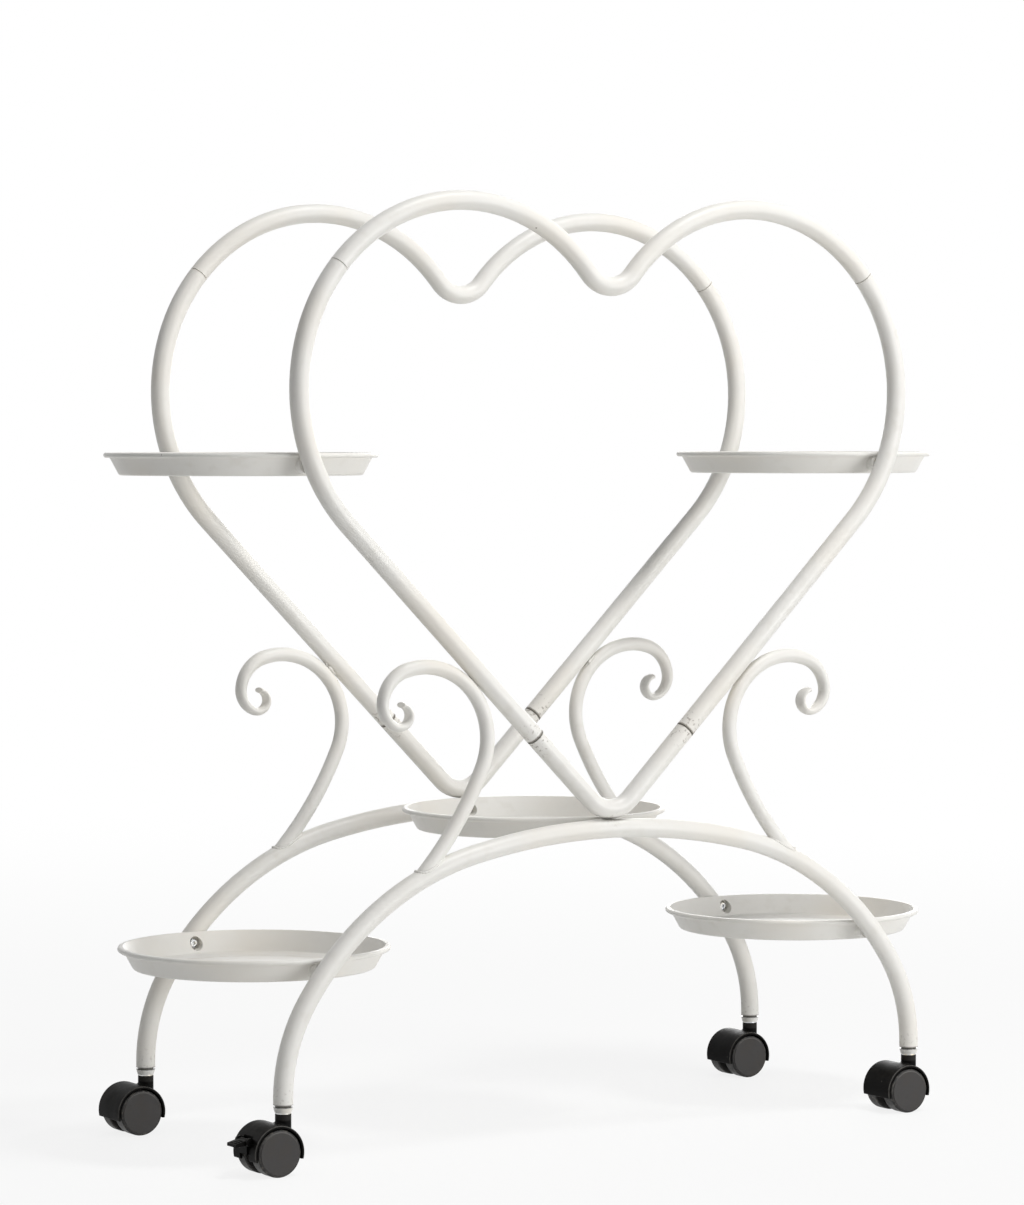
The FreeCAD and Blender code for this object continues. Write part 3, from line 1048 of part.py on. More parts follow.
def make_hood(label, braked):
    """The hood, its neck and the web between the wheels. A braked one has ears for the lever."""
    body = new_body(label)
    ax = -SIZE["trail"]
    az = wheel_r
    wrap = math.radians(SIZE["hood_wrap"])
    wrap_expr = "dims.hood_wrap * 1 deg"
    sk = new_sketch(body, label + "_shell")
    circle = Part.Circle(VEC(ax, az, 0), VEC(0, 0, 1), hood_out_r)
    arc = sk.addGeometry(Part.ArcOfCircle(circle, -wrap, math.pi + wrap), False)
    chord_z = az - hood_out_r * math.sin(wrap)
    chord_expr = "dims.wheel_d / 2 - %s * sin(%s)" % (HOOD_OUT_R, wrap_expr)
    a = VEC(ax - hood_out_r * math.cos(wrap), chord_z, 0)
    b = VEC(ax + hood_out_r * math.cos(wrap), chord_z, 0)
    line = sk.addGeometry(Part.LineSegment(a, b), False)
    set_r(sk, arc, hood_out_r, HOOD_OUT_R)
    set_x(sk, arc, 3, ax, d("trail"))
    set_y(sk, arc, 3, az, "dims.wheel_d / 2")
    sk.addConstraint(Sketcher.Constraint("Coincident", line, 1, arc, 2))
    sk.addConstraint(Sketcher.Constraint("Coincident", line, 2, arc, 1))
    set_y(sk, line, 1, chord_z, chord_expr)
    set_y(sk, line, 2, chord_z, chord_expr)
    pad(body, sk, label + "_half", HOOD_W, midplane=True)
    fillet(body, label + "_edges", hood_edges(body.Tip.Shape), d("hood_round"))
    neck = new_sketch(body, label + "_neck_ring", "XY_Plane")
    neck.setExpression("AttachmentOffset.Base.z", d("neck_low"))
    circle_at(neck, 0.0, None, 0.0, None, SIZE["neck_d"] / 2, "dims.neck_d / 2")
    pad(body, neck, label + "_neck", "%s - dims.neck_low" % NECK_TOP)
    fillet(body, label + "_flare", neck_edges(body.Tip.Shape), d("neck_round"))
    if braked:
        ears = new_sketch(body, label + "_ears")
        px = ax - SIZE["lever_x"]
        pz = az + SIZE["lever_z"]
        circle_at(ears, px, "dims.trail + dims.lever_x", pz, "dims.wheel_d / 2 + dims.lever_z",
                  SIZE["ear_d"] / 2, "dims.ear_d / 2")
        pad(body, ears, label + "_ear", "%s + 2 * dims.ear_w" % SLOT_W, midplane=True)
    well = new_sketch(body, label + "_wheel_well")
    circle_at(well, ax, d("trail"), az, "dims.wheel_d / 2", hood_in_r, HOOD_IN_R)
    pocket(body, well, label + "_well", "2 * " + HOOD_W, midplane=True)
    web = new_sketch(body, label + "_web_outline")
    over = hood_in_r + SIZE["hood_t"] / 2
    over_expr = "%s + dims.hood_t / 2" % HOOD_IN_R
    crown = Part.Circle(VEC(ax, az, 0), VEC(0, 0, 1), over)
    top = web.addGeometry(Part.ArcOfCircle(crown, 0.0, math.pi), False)
    foot = SIZE["web_foot"]
    pts = [VEC(ax - over, az, 0), VEC(ax - foot, az - foot, 0),
           VEC(ax + foot, az - foot, 0), VEC(ax + over, az, 0)]
    segs = [web.addGeometry(Part.LineSegment(pts[i], pts[i + 1]), False) for i in range(3)]
    web.addConstraint(Sketcher.Constraint("Coincident", top, 2, segs[0], 1))
    web.addConstraint(Sketcher.Constraint("Coincident", segs[0], 2, segs[1], 1))
    web.addConstraint(Sketcher.Constraint("Coincident", segs[1], 2, segs[2], 1))
    web.addConstraint(Sketcher.Constraint("Coincident", segs[2], 2, top, 1))
    set_r(web, top, over, over_expr)
    set_x(web, top, 3, ax, d("trail"))
    set_y(web, top, 3, az, "dims.wheel_d / 2")
    set_y(web, segs[0], 1, az, "dims.wheel_d / 2")
    set_y(web, segs[2], 2, az, "dims.wheel_d / 2")
    set_x(web, segs[1], 1, ax - foot, "dims.trail + dims.web_foot")
    set_y(web, segs[1], 1, az - foot, "dims.wheel_d / 2 - dims.web_foot")
    set_x(web, segs[1], 2, ax + foot, "dims.trail - dims.web_foot")
    set_y(web, segs[1], 2, az - foot, "dims.wheel_d / 2 - dims.web_foot")
    pad(body, web, label + "_web", d("web_t"), midplane=True)
    if braked:
        slot = new_sketch(body, label + "_slot_outline")
        far = hood_out_r + SIZE["ear_d"]
        far_expr = "dims.trail + %s + dims.ear_d" % HOOD_OUT_R
        near = SIZE["nose_gap"] + wheel_r - SIZE["ear_d"] / 2
        near_expr = "dims.trail + dims.nose_gap + dims.wheel_d / 2 - dims.ear_d / 2"
        top_z = az + SIZE["lever_z"] + SIZE["slot_top"]
        top_expr = "dims.wheel_d / 2 + dims.lever_z + dims.slot_top"
        low_z = chord_z - SIZE["hood_t"]
        low_expr = "%s - dims.hood_t" % chord_expr
        outline(slot, [
            (ax - far, far_expr, low_z, low_expr),
            (ax - near, near_expr, low_z, low_expr),
            (ax - near, near_expr, top_z, top_expr),
            (ax - far, far_expr, top_z, top_expr),
        ])
        pocket(body, slot, label + "_slot", SLOT_W, midplane=True)
        pins = new_sketch(body, label + "_lever_bore_ring")
        circle_at(pins, px, "dims.trail + dims.lever_x", pz, "dims.wheel_d / 2 + dims.lever_z",
                  SIZE["lever_pin_d"] / 2 + SIZE["lever_pin_fit"],
                  "dims.lever_pin_d / 2 + dims.lever_pin_fit")
        pocket(body, pins, label + "_lever_bore", "2 * " + HOOD_W, midplane=True)
    bore = new_sketch(body, label + "_stem_ring", "XY_Plane")
    bore.setExpression("AttachmentOffset.Base.z", NECK_TOP)
    circle_at(bore, 0.0, None, 0.0, None,
              SIZE["stem_d"] / 2 + SIZE["stem_fit"], "dims.stem_d / 2 + dims.stem_fit")
    pocket(body, bore, label + "_stem_bore", "%s - dims.stem_low + dims.stem_floor" % NECK_TOP)
    hole = new_sketch(body, label + "_axle_ring")
    circle_at(hole, ax, d("trail"), az, "dims.wheel_d / 2", SIZE["axle_d"] / 2, "dims.axle_d / 2")
    pocket(body, hole, label + "_axle_bore", "2 * dims.web_t", midplane=True)
    return body


def make_lever(label):
    """The brake lever: a pedal behind its pivot and a nose that swings in against both treads."""
    body = new_body(label)
    px = -SIZE["trail"] - SIZE["lever_x"]
    pz = wheel_r + SIZE["lever_z"]
    px_expr = "dims.trail + dims.lever_x"
    pz_expr = "dims.wheel_d / 2 + dims.lever_z"
    hub = new_sketch(body, label + "_hub_ring")
    circle_at(hub, px, px_expr, pz, pz_expr, SIZE["lever_hub_d"] / 2, "dims.lever_hub_d / 2")
    pad(body, hub, label + "_hub", d("lever_w"), midplane=True)
    pedal = new_sketch(body, label + "_pedal_outline")
    reach = SIZE["lever_reach"]
    drop = SIZE["lever_drop"]
    root_t = SIZE["pedal_root"]
    tip_t = SIZE["pedal_tip"]
    crown = pz + SIZE["pedal_crown"]
    crown_expr = "%s + dims.pedal_crown" % pz_expr
    outline(pedal, [
        (px, px_expr, crown, crown_expr),
        (px, px_expr, crown - root_t, "%s - dims.pedal_root" % crown_expr),
        (px - reach, "%s + dims.lever_reach" % px_expr, crown - drop - tip_t,
         "%s - dims.lever_drop - dims.pedal_tip" % crown_expr),
        (px - reach, "%s + dims.lever_reach" % px_expr, crown - drop, "%s - dims.lever_drop" % crown_expr),
    ])
    pad(body, pedal, label + "_pedal", d("lever_w"), midplane=True)
    nose = new_sketch(body, label + "_nose_outline")
    # The nose ends beside the tread, at a distance of nose_gap from it
    tip_z = pz - SIZE["nose_len"]
    tip_expr = "%s - dims.nose_len" % pz_expr
    off = SIZE["lever_z"] - SIZE["nose_len"]
    off_expr = "(dims.lever_z - dims.nose_len)"
    tread = wheel_r + SIZE["nose_gap"]
    tip_x = math.sqrt(tread * tread - off * off)
    tread_expr = "(dims.wheel_d / 2 + dims.nose_gap)"
    tip_x_expr = "sqrt(%s * %s - %s * %s)" % (tread_expr, tread_expr, off_expr, off_expr)
    nt = SIZE["nose_t"]
    ax = -SIZE["trail"]
    outline(nose, [
        (ax - tip_x, "dims.trail + %s" % tip_x_expr, tip_z, tip_expr),
        (px + SIZE["nose_root"] / 2, "%s - dims.nose_root / 2" % px_expr, pz, pz_expr),
        (px - SIZE["nose_root"] / 2, "%s + dims.nose_root / 2" % px_expr, pz, pz_expr),
        (ax - tip_x - nt, "dims.trail + %s + dims.nose_t" % tip_x_expr, tip_z, tip_expr),
    ])
    pad(body, nose, label + "_nose", d("lever_w"), midplane=True)
    pin = new_sketch(body, label + "_pin_ring")
    circle_at(pin, px, px_expr, pz, pz_expr, SIZE["lever_pin_d"] / 2, "dims.lever_pin_d / 2")
    pad(body, pin, label + "_pin", "%s + 2 * dims.ear_w - 2 * dims.lever_play" % SLOT_W, midplane=True)
    return body


def make_caster(name, side_x, side_y, braked):
    """One twin-wheel caster under one leg, trailing to the left. Returns its nodes."""
    x = "%d * %s" % (side_x, LEG_X)
    y = "%d * %s" % (side_y, HALF_DEPTH)
    nodes = []
    makers = ((make_socket, "leg_socket"), (make_stem, "caster_stem"), (make_axle, "caster_axle"))
    for maker, word in makers:
        piece = maker("%s_%s" % (name, word))
        place(piece, x=x, y=y)
        nodes.append(piece)
    hood = make_hood(name + "_caster_hood", braked)
    place(hood, x=x, y=y)
    nodes.append(hood)
    for face, word in ((-1, "front"), (1, "back")):
        wheel = make_wheel("%s_caster_wheel_%s" % (name, word))
        turn = FreeCAD.Rotation(VEC(0, 0, 1), VEC(0, face, 0))
        wheel.Placement = FreeCAD.Placement(VEC(0, 0, 0), turn)
        wheel.setExpression("Placement.Base.x", x + " - dims.trail")
        wheel.setExpression("Placement.Base.y", "%s + %d * %s" % (y, face, WHEEL_IN))
        wheel.setExpression("Placement.Base.z", "dims.wheel_d / 2")
        nodes.append(wheel)
    if braked:
        lever = make_lever(name + "_brake_lever")
        place(lever, x=x, y=y)
        nodes.append(lever)
    return nodes


FRONT = "-" + HALF_DEPTH
BACK = HALF_DEPTH
nodes = [
    make_arch("front_base_arch", FRONT, 1),
    make_arch("back_base_arch", BACK, -1),
    make_scroll("front_right_scroll", FRONT, 0.0),
    make_scroll("front_left_scroll", FRONT, 180.0),
    make_scroll("back_right_scroll", BACK, 0.0),
    make_scroll("back_left_scroll", BACK, 180.0),
    make_foot("front_heart_foot", FRONT),
    make_foot("back_heart_foot", BACK),
    make_side("front_right_heart_side", FRONT, 0.0, 1),
    make_side("front_left_heart_side", FRONT, 180.0, -1),
    make_side("back_right_heart_side", BACK, 0.0, -1),
    make_side("back_left_heart_side", BACK, 180.0, 1),
    make_top("front_heart_top", FRONT),
    make_top("back_heart_top", BACK),
]
for tray_label, tray_x, tray_z in TRAY_SPOTS:
    nodes.append(make_tray(tray_label, tray_x, "%s - dims.tray_fix" % tray_z))
one_screw = make_screw()
one_nut = make_nut()
SEAT = "%s - 2 * dims.tray_rim_play - dims.tray_sheet" % NUT_FACE
nodes.append(make_group("tray_screws", one_screw, SEAT))
nodes.append(make_group("rivet_nuts", one_nut, "dims.frame_spacing / 2 - dims.tube_d / 2"))
nodes += make_caster("front_left", -1, -1, True)
nodes += make_caster("front_right", 1, -1, False)
nodes += make_caster("back_left", -1, 1, False)
nodes += make_caster("back_right", 1, 1, False)
doc.recompute()

bad = [o.Name for o in doc.Objects if "Invalid" in o.State or "Error" in o.State]
if bad:
    raise RuntimeError("failed objects: " + ", ".join(bad))
for node in nodes:
    shape = node.Shape
    if shape.isNull() or not shape.isValid() or not shape.Solids:
        raise RuntimeError("bad shape: " + node.Label)

os.makedirs("parts", exist_ok=True)
for node in nodes:
    node.Shape.exportStep("parts/%s.step" % node.Label)
    box = node.Shape.BoundBox
    print("%-28s solids %2d  volume %9.1f  x %7.1f %7.1f  y %7.1f %7.1f  z %6.1f %6.1f" % (
        node.Label, len(node.Shape.Solids), node.Shape.Volume,
        box.XMin, box.XMax, box.YMin, box.YMax, box.ZMin, box.ZMax))
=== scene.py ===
"""Looks of the rolling plant stand.

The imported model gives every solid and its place. This script adds the welds and the grip ribs of
the brake pedal, gives each surface its finish, and sets up a pale studio and the camera.
Metres, +Z up, -Y is the front.
"""

import logging
import math
from dataclasses import dataclass, field
from enum import Enum

import bpy
from mathutils import Matrix, Vector
from mathutils.bvhtree import BVHTree


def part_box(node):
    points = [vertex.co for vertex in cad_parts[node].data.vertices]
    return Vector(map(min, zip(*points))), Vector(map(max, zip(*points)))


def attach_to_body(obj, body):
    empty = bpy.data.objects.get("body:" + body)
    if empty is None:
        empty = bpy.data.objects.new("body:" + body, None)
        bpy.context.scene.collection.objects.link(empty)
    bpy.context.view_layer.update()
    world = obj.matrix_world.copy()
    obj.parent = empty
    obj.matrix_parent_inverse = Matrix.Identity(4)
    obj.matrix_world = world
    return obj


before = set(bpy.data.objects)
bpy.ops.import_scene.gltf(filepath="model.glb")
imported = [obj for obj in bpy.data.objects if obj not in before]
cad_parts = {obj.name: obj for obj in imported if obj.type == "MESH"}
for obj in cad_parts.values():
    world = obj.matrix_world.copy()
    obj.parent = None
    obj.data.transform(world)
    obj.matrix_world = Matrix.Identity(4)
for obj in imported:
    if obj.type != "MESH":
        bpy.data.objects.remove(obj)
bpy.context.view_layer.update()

LOG = logging.getLogger("plant_stand")
MM = 0.001
MERGE = 0.001 * MM
UP = Vector((0.0, 0.0, 1.0))
NOWHERE = (0.0, 0.0, 0.0)
UPRIGHT = (0.0, 0.0, 1.0)
CROSSWISE = (0.0, 1.0, 0.0)
RISING = (0.0, 1.0)
FALLING = (1.0, 0.0)

Colour = tuple[float, float, float]
Span = tuple[float, float]


class Corner(Enum):
    """A leg of the stand, by the name in its nodes and bodies."""

    FRONT_LEFT = "front_left"
    FRONT_RIGHT = "front_right"
    BACK_LEFT = "back_left"
    BACK_RIGHT = "back_right"


class Face(Enum):
    """One of the two tube frames, or the wheel on that side of a caster."""

    FRONT = "front"
    BACK = "back"

    @property
    def inward(self) -> float:
        """The sign along Y of the way to the other frame."""
        return 1.0 if self is Face.FRONT else -1.0


class Hand(Enum):
    """Left or right half of a frame."""

    LEFT = "left"
    RIGHT = "right"

    @property
    def sign(self) -> float:
        """-1 on the left, 1 on the right, along X."""
        return -1.0 if self is Hand.LEFT else 1.0


class Tree:
    """The nodes of one material or group, with short calls to add and join them."""

    MIX_INPUTS: tuple[int, int, int] = (0, 6, 7)
    MIX_RESULT = 2

    def __init__(self, tree: bpy.types.NodeTree) -> None:
        """Wrap a node tree.

        Args:
            tree: the tree that nodes are added to.
        """
        self.tree = tree

    def add(self, kind: str, settings: dict | None = None, **values: object) -> bpy.types.Node:
        """Add a node.

        Args:
            kind: the node's type, without the ShaderNode prefix.
            settings: its properties.
            values: its inputs by name, with _ for a space. A socket is joined, and anything else
                is set.

        Returns:
            The new node.
        """
        node = self.tree.nodes.new("ShaderNode" + kind)
        for name, value in (settings or {}).items():
            setattr(node, name, value)
        for name, value in values.items():
            self.feed(node.inputs[name.replace("_", " ")], value)
        return node

    def feed(self, socket: bpy.types.NodeSocket, value: object) -> None:
        """Join a socket to another one, or set its value.

        Args:
            socket: the input to feed.
            value: an output socket, a number, a vector or a colour.
        """
        if isinstance(value, bpy.types.NodeSocket):
            self.tree.links.new(value, socket)
        elif socket.type == "RGBA" and len(value) == 3:
            socket.default_value = (*value, 1.0)
        else:
            socket.default_value = value

    def math(self, operation: str, first: object, second: object = 0.0) -> bpy.types.NodeSocket:
        """Join two values by arithmetic.

        Args:
            operation: the kind of arithmetic.
            first: a number or socket.
            second: a number or socket.

        Returns:
            The result's socket.
        """
        node = self.add("Math", {"operation": operation})
        self.feed(node.inputs[0], first)
        self.feed(node.inputs[1], second)
        return node.outputs[0]

    def times(self, first: object, second: object) -> bpy.types.NodeSocket:
        """Multiply two values, and return the product's socket."""
        return self.math("MULTIPLY", first, second)

    def vector(
            self, operation: str, first: object,
            second: object = NOWHERE) -> bpy.types.NodeOutputs:
        """Join two vectors.

        Args:
            operation: the kind of arithmetic.
            first: a vector or socket.
            second: a vector or socket.

        Returns:
            The outputs: Vector, or Value where the result is a number.
        """
        node = self.add("VectorMath", {"operation": operation})
        self.feed(node.inputs[0], first)
        self.feed(node.inputs[1], second)
        return node.outputs

    def blend(self, share: object, first: object, second: object) -> bpy.types.NodeSocket:
        """Mix two colours.

        Args:
            share: 0 for all of the first, 1 for all of the second.
            first: a colour or socket.
            second: a colour or socket.

        Returns:
            The mixed colour's socket.
        """
        node = self.add("Mix", {"data_type": "RGBA"})
        for number, value in zip(self.MIX_INPUTS, (share, first, second)):
            self.feed(node.inputs[number], value)
        return node.outputs[self.MIX_RESULT]

    def ramp(self, value: object, span: tuple, result: Span = RISING) -> bpy.types.NodeSocket:
        """Map a value smoothly from one range to another.

        Args:
            value: the value's socket.
            span: the range to map from.
            result: the range to map to.

        Returns:
            The result's socket.
        """
        node = self.add("MapRange", {"interpolation_type": "SMOOTHSTEP"})
        for socket, number in zip(node.inputs[:5], (value, *span, *result)):
            self.feed(socket, number)
        return node.outputs[0]

    def noise(
            self, place: bpy.types.NodeSocket, scale: object,
            detail: float = 3.0) -> bpy.types.NodeSocket:
        """Smooth noise at a place, from 0 to 1, and return its socket."""
        return self.add("TexNoise", Vector=place, Scale=scale, Detail=detail).outputs["Fac"]


class Group:
    """A shader node group that several finishes share."""

    KINDS: dict[int, str] = {1: "Float", 3: "Vector", 4: "Color"}

    def __init__(self, name: str, inputs: dict[str, object], outputs: dict[str, str]) -> None:
        """Make the group and its sockets.

        Args:
            name: the group's name.
            inputs: default value of each input by name. A number, a vector or a colour of four.
            outputs: socket type of each output by name, without the NodeSocket prefix.
        """
        self.data = bpy.data.node_groups.new(name, "ShaderNodeTree")
        interface = self.data.interface
        for label, value in inputs.items():
            kind = "NodeSocket" + self.KINDS[len(value) if isinstance(value, tuple) else 1]
            socket = interface.new_socket(label, in_out="INPUT", socket_type=kind)
            socket.default_value = value
        for label, kind in outputs.items():
            interface.new_socket(label, in_out="OUTPUT", socket_type="NodeSocket" + kind)
        self.nodes = Tree(self.data)
        self.start = self.data.nodes.new("NodeGroupInput").outputs
        self.end = self.data.nodes.new("NodeGroupOutput").inputs
        self.place = self.nodes.add("TexCoord").outputs

    def use(self, tree: Tree, **values: object) -> bpy.types.NodeOutputs:
        """Put the group into a material.

        Args:
            tree: the material's nodes.
            values: its inputs by name, with _ for a space.

        Returns:
            The outputs of the new group node.
        """
        return tree.add("Group", {"node_tree": self.data}, **values).outputs


class Effects:
    """The effects that the finishes are mixed from.

    Spans are in the 0 to 1 of a noise or mask. Scales are the cells of a noise in a metre.
    """

    WARM_PATCHES: Span = (0.42, 0.72)
    COOL_PATCHES: Span = (0.62, 0.3)
    SPECKS: Span = (0.5, 0.78)
    NEAR_JOINT: Span = (0.45, 1.0)
    LINE_EDGE: Span = (0.35, 1.0)
    LINE_RAGGED = 0.6
    FLECKS: Span = (0.56, 0.66)
    FACING_UP: Span = (0.1, 0.95)
    DUST_CLUMPS: Span = (0.34, 0.7)
    KNOCK_CORE: Span = (0.0, 0.012)
    KNOCK_RAGGED = 0.05
    KNOCK_SCALE = 900.0
    RAGGED_SCALE = 420.0
    FLECK_SCALE = 330.0
    WANDER_SCALE = 45.0
    PATCH_DETAIL = 4.0
    SPECK_DETAIL = 2.0
    GRAIN_DETAIL = 1.5
    DIRT_DETAIL = 5.0

    def __init__(self) -> None:
        """Build each node group once."""
        self.drift = self._drift()
        self.skin = self._skin()
        self.grime_and_shade = self._grime_and_shade()
        self.dust = self._dust()
        self.knocks = self._knocks()
        self.rings = self._rings()

    def _drift(self) -> Group:
        """Slow drifts of tint over a painted or moulded surface.

        Returns:
            The group, which puts out the colour and the slow noise behind it.
        """
        white = (1.0, 1.0, 1.0, 1.0)
        group = Group(
            "tint_drift",
            {"Base": white, "Warm": white, "Shade": white, "Patch": 9.0, "Speck": 90.0},
            {"Colour": "Color", "Drift": "Float"})
        nodes = group.nodes
        patch = nodes.noise(group.place["Object"], group.start["Patch"], self.PATCH_DETAIL)
        speck = nodes.noise(group.place["Object"], group.start["Speck"], self.SPECK_DETAIL)
        shade = nodes.times(nodes.ramp(speck, self.SPECKS), nodes.ramp(patch, self.COOL_PATCHES))
        warm = nodes.ramp(patch, self.WARM_PATCHES)
        colour = nodes.blend(warm, group.start["Base"], group.start["Warm"])
        nodes.feed(group.end["Colour"], nodes.blend(shade, colour, group.start["Shade"]))
        nodes.feed(group.end["Drift"], patch)
        return group

    def _skin(self) -> Group:
        """The fine pebbled skin of powder coat or of a moulding, over a slower unevenness.

        Returns:
            The group, which puts out a height for a bump.
        """
        group = Group(
            "surface_skin",
            {"Grain": 700.0, "Wave": 30.0, "Wave share": 0.5},
            {"Height": "Float"})
        nodes = group.nodes
        grain = nodes.noise(group.place["Object"], group.start["Grain"], self.GRAIN_DETAIL)
        wave = nodes.noise(group.place["Object"], group.start["Wave"], self.SPECK_DETAIL)
        height = nodes.math("ADD", grain, nodes.times(wave, group.start["Wave share"]))
        nodes.feed(group.end["Height"], height)
        return group

    def _grime_and_shade(self) -> Group:
        """A dark line in a joint and flecks beside it, with places folded to one quarter of the
        stand: dirt on the frame, painted shade and dirt in a socket's gap.

        Returns:
            The group, which puts out the masks of the dark line and of the flecks.
        """
        group = Group(
            "joint_grime_and_shade",
            {"Joint": NOWHERE, "Along": UPRIGHT, "Width": 1.5 * MM, "Reach": 20.0 * MM},
            {"Line": "Float", "Flecks": "Float"})
        nodes = group.nodes
        parts = nodes.add("SeparateXYZ", Vector=group.place["Object"]).outputs
        across = nodes.math("ABSOLUTE", parts[0])
        depth = nodes.math("ABSOLUTE", parts[1])
        folded = nodes.add("CombineXYZ", X=across, Y=depth, Z=parts[2]).outputs[0]
        arm = nodes.vector("SUBTRACT", folded, group.start["Joint"])["Vector"]
        far = nodes.math("DIVIDE", nodes.vector("LENGTH", arm)["Value"], group.start["Reach"])
        near = nodes.ramp(far, self.NEAR_JOINT, FALLING)
        along = nodes.vector("DOT_PRODUCT", arm, group.start["Along"])["Value"]
        ragged = nodes.noise(group.place["Object"], self.RAGGED_SCALE)
        width = nodes.times(group.start["Width"], nodes.math("ADD", self.LINE_RAGGED, ragged))
        off = nodes.math("DIVIDE", nodes.math("ABSOLUTE", along), width)
        line = nodes.ramp(off, self.LINE_EDGE, FALLING)
        flecks = nodes.noise(group.place["Object"], self.FLECK_SCALE, self.DIRT_DETAIL)
        nodes.feed(group.end["Line"], nodes.times(near, line))
        nodes.feed(group.end["Flecks"], nodes.times(near, nodes.ramp(flecks, self.FLECKS)))
        return group

    def _dust(self) -> Group:
        """Dust settled on what faces up.

        Returns:
            The group, which puts out the dust's mask.
        """
        group = Group("settled_dust", {"Amount": 0.5, "Clump": 120.0}, {"Mask": "Float"})
        nodes = group.nodes
        up = nodes.add("SeparateXYZ", Vector=group.place["Normal"]).outputs[2]
        clump = nodes.noise(group.place["Object"], group.start["Clump"], self.DIRT_DETAIL)
        clump = nodes.ramp(clump, self.DUST_CLUMPS)
        settled = nodes.times(nodes.ramp(up, self.FACING_UP), clump)
        nodes.feed(group.end["Mask"], nodes.times(settled, group.start["Amount"]))
        return group

    def _knocks(self) -> Group:
        """Sparse small knocks, each in its own cell and of its own size.

        Returns:
            The group, which puts out the knocks' mask.
        """
        group = Group(
            "small_knocks",
            {"Cells": 40.0, "Size": 0.09, "Rarity": 0.8},
            {"Mask": "Float"})
        nodes = group.nodes
        place = group.place["Object"]
        rough = nodes.noise(place, self.KNOCK_SCALE, self.SPECK_DETAIL)
        rough = nodes.times(rough, self.KNOCK_RAGGED)
        cell = nodes.add("TexVoronoi", Vector=place, Scale=group.start["Cells"]).outputs
        chance = nodes.add("SeparateColor", Color=cell["Color"]).outputs
        picked = nodes.math("GREATER_THAN", chance[0], group.start["Rarity"])
        size = nodes.times(chance[1], group.start["Size"])
        inside = nodes.math("SUBTRACT", size, nodes.math("ADD", cell["Distance"], rough))
        nodes.feed(group.end["Mask"], nodes.times(nodes.ramp(inside, self.KNOCK_CORE), picked))
        return group

    def _rings(self) -> Group:
        """A ring about an axis: a dried water mark in a tray, and also the band of a painted
        highlight along the edge of a moulding.

        Returns:
            The group, which puts out the ring's mask, how far a place is from the axis, and how far
            along it.
        """
        group = Group(
            "ring_marks",
            {"Centre": NOWHERE, "Axis": UPRIGHT,
             "Radius": 80.0 * MM, "Width": 6.0 * MM, "Wander": 0.0},
            {"Mask": "Float", "Reach": "Float", "Lift": "Float"})
        nodes = group.nodes
        arm = nodes.vector("SUBTRACT", group.place["Object"], group.start["Centre"])["Vector"]
        lift = nodes.vector("PROJECT", arm, group.start["Axis"])["Vector"]
        reach = nodes.vector("LENGTH", nodes.vector("SUBTRACT", arm, lift)["Vector"])["Value"]
        wander = nodes.noise(group.place["Object"], self.WANDER_SCALE)
        wander = nodes.times(wander, group.start["Wander"])
        off = nodes.math("SUBTRACT", nodes.math("ADD", reach, wander), group.start["Radius"])
        off = nodes.math("DIVIDE", nodes.math("ABSOLUTE", off), group.start["Width"])
        nodes.feed(group.end["Mask"], nodes.ramp(off, RISING, FALLING))
        nodes.feed(group.end["Reach"], reach)
        nodes.feed(group.end["Lift"], nodes.vector("LENGTH", lift)["Value"])
        return group


@dataclass
class Surface:
    """The sockets that a finish builds up before they reach the shader."""

    nodes: Tree
    colour: bpy.types.NodeSocket
    roughness: bpy.types.NodeSocket
    height: bpy.types.NodeSocket

    def lay(self, mask: object, colour: Colour, amount: float = 1.0) -> None:
        """Lay a colour over the surface where a mask says.

        Args:
            mask: the mask's socket.
            colour: the colour to lay.
            amount: the most that covers.
        """
        share = mask if amount == 1.0 else self.nodes.times(mask, amount)
        self.colour = self.nodes.blend(share, self.colour, colour)


@dataclass(frozen=True)
class GrimeAndShadeJoint:
    """A joint with a dark line, of dirt, and in a socket's gap of painted shade too: its place
    where X and Y are above zero, and its direction.
    """

    place: Vector
    along: Vector
    width: float = 1.6 * MM
    reach: float = 24.0 * MM
    line: float = 0.8
    flecks: float = 0.25

    def use(self, effects: Effects, nodes: Tree) -> bpy.types.NodeOutputs:
        """Put the joint's dark line (dirt, and in a socket's gap painted shade) into a material,
        and return its line and flecks.
        """
        return effects.grime_and_shade.use(
            nodes, Joint=tuple(self.place), Along=tuple(self.along),
            Width=self.width, Reach=self.reach)


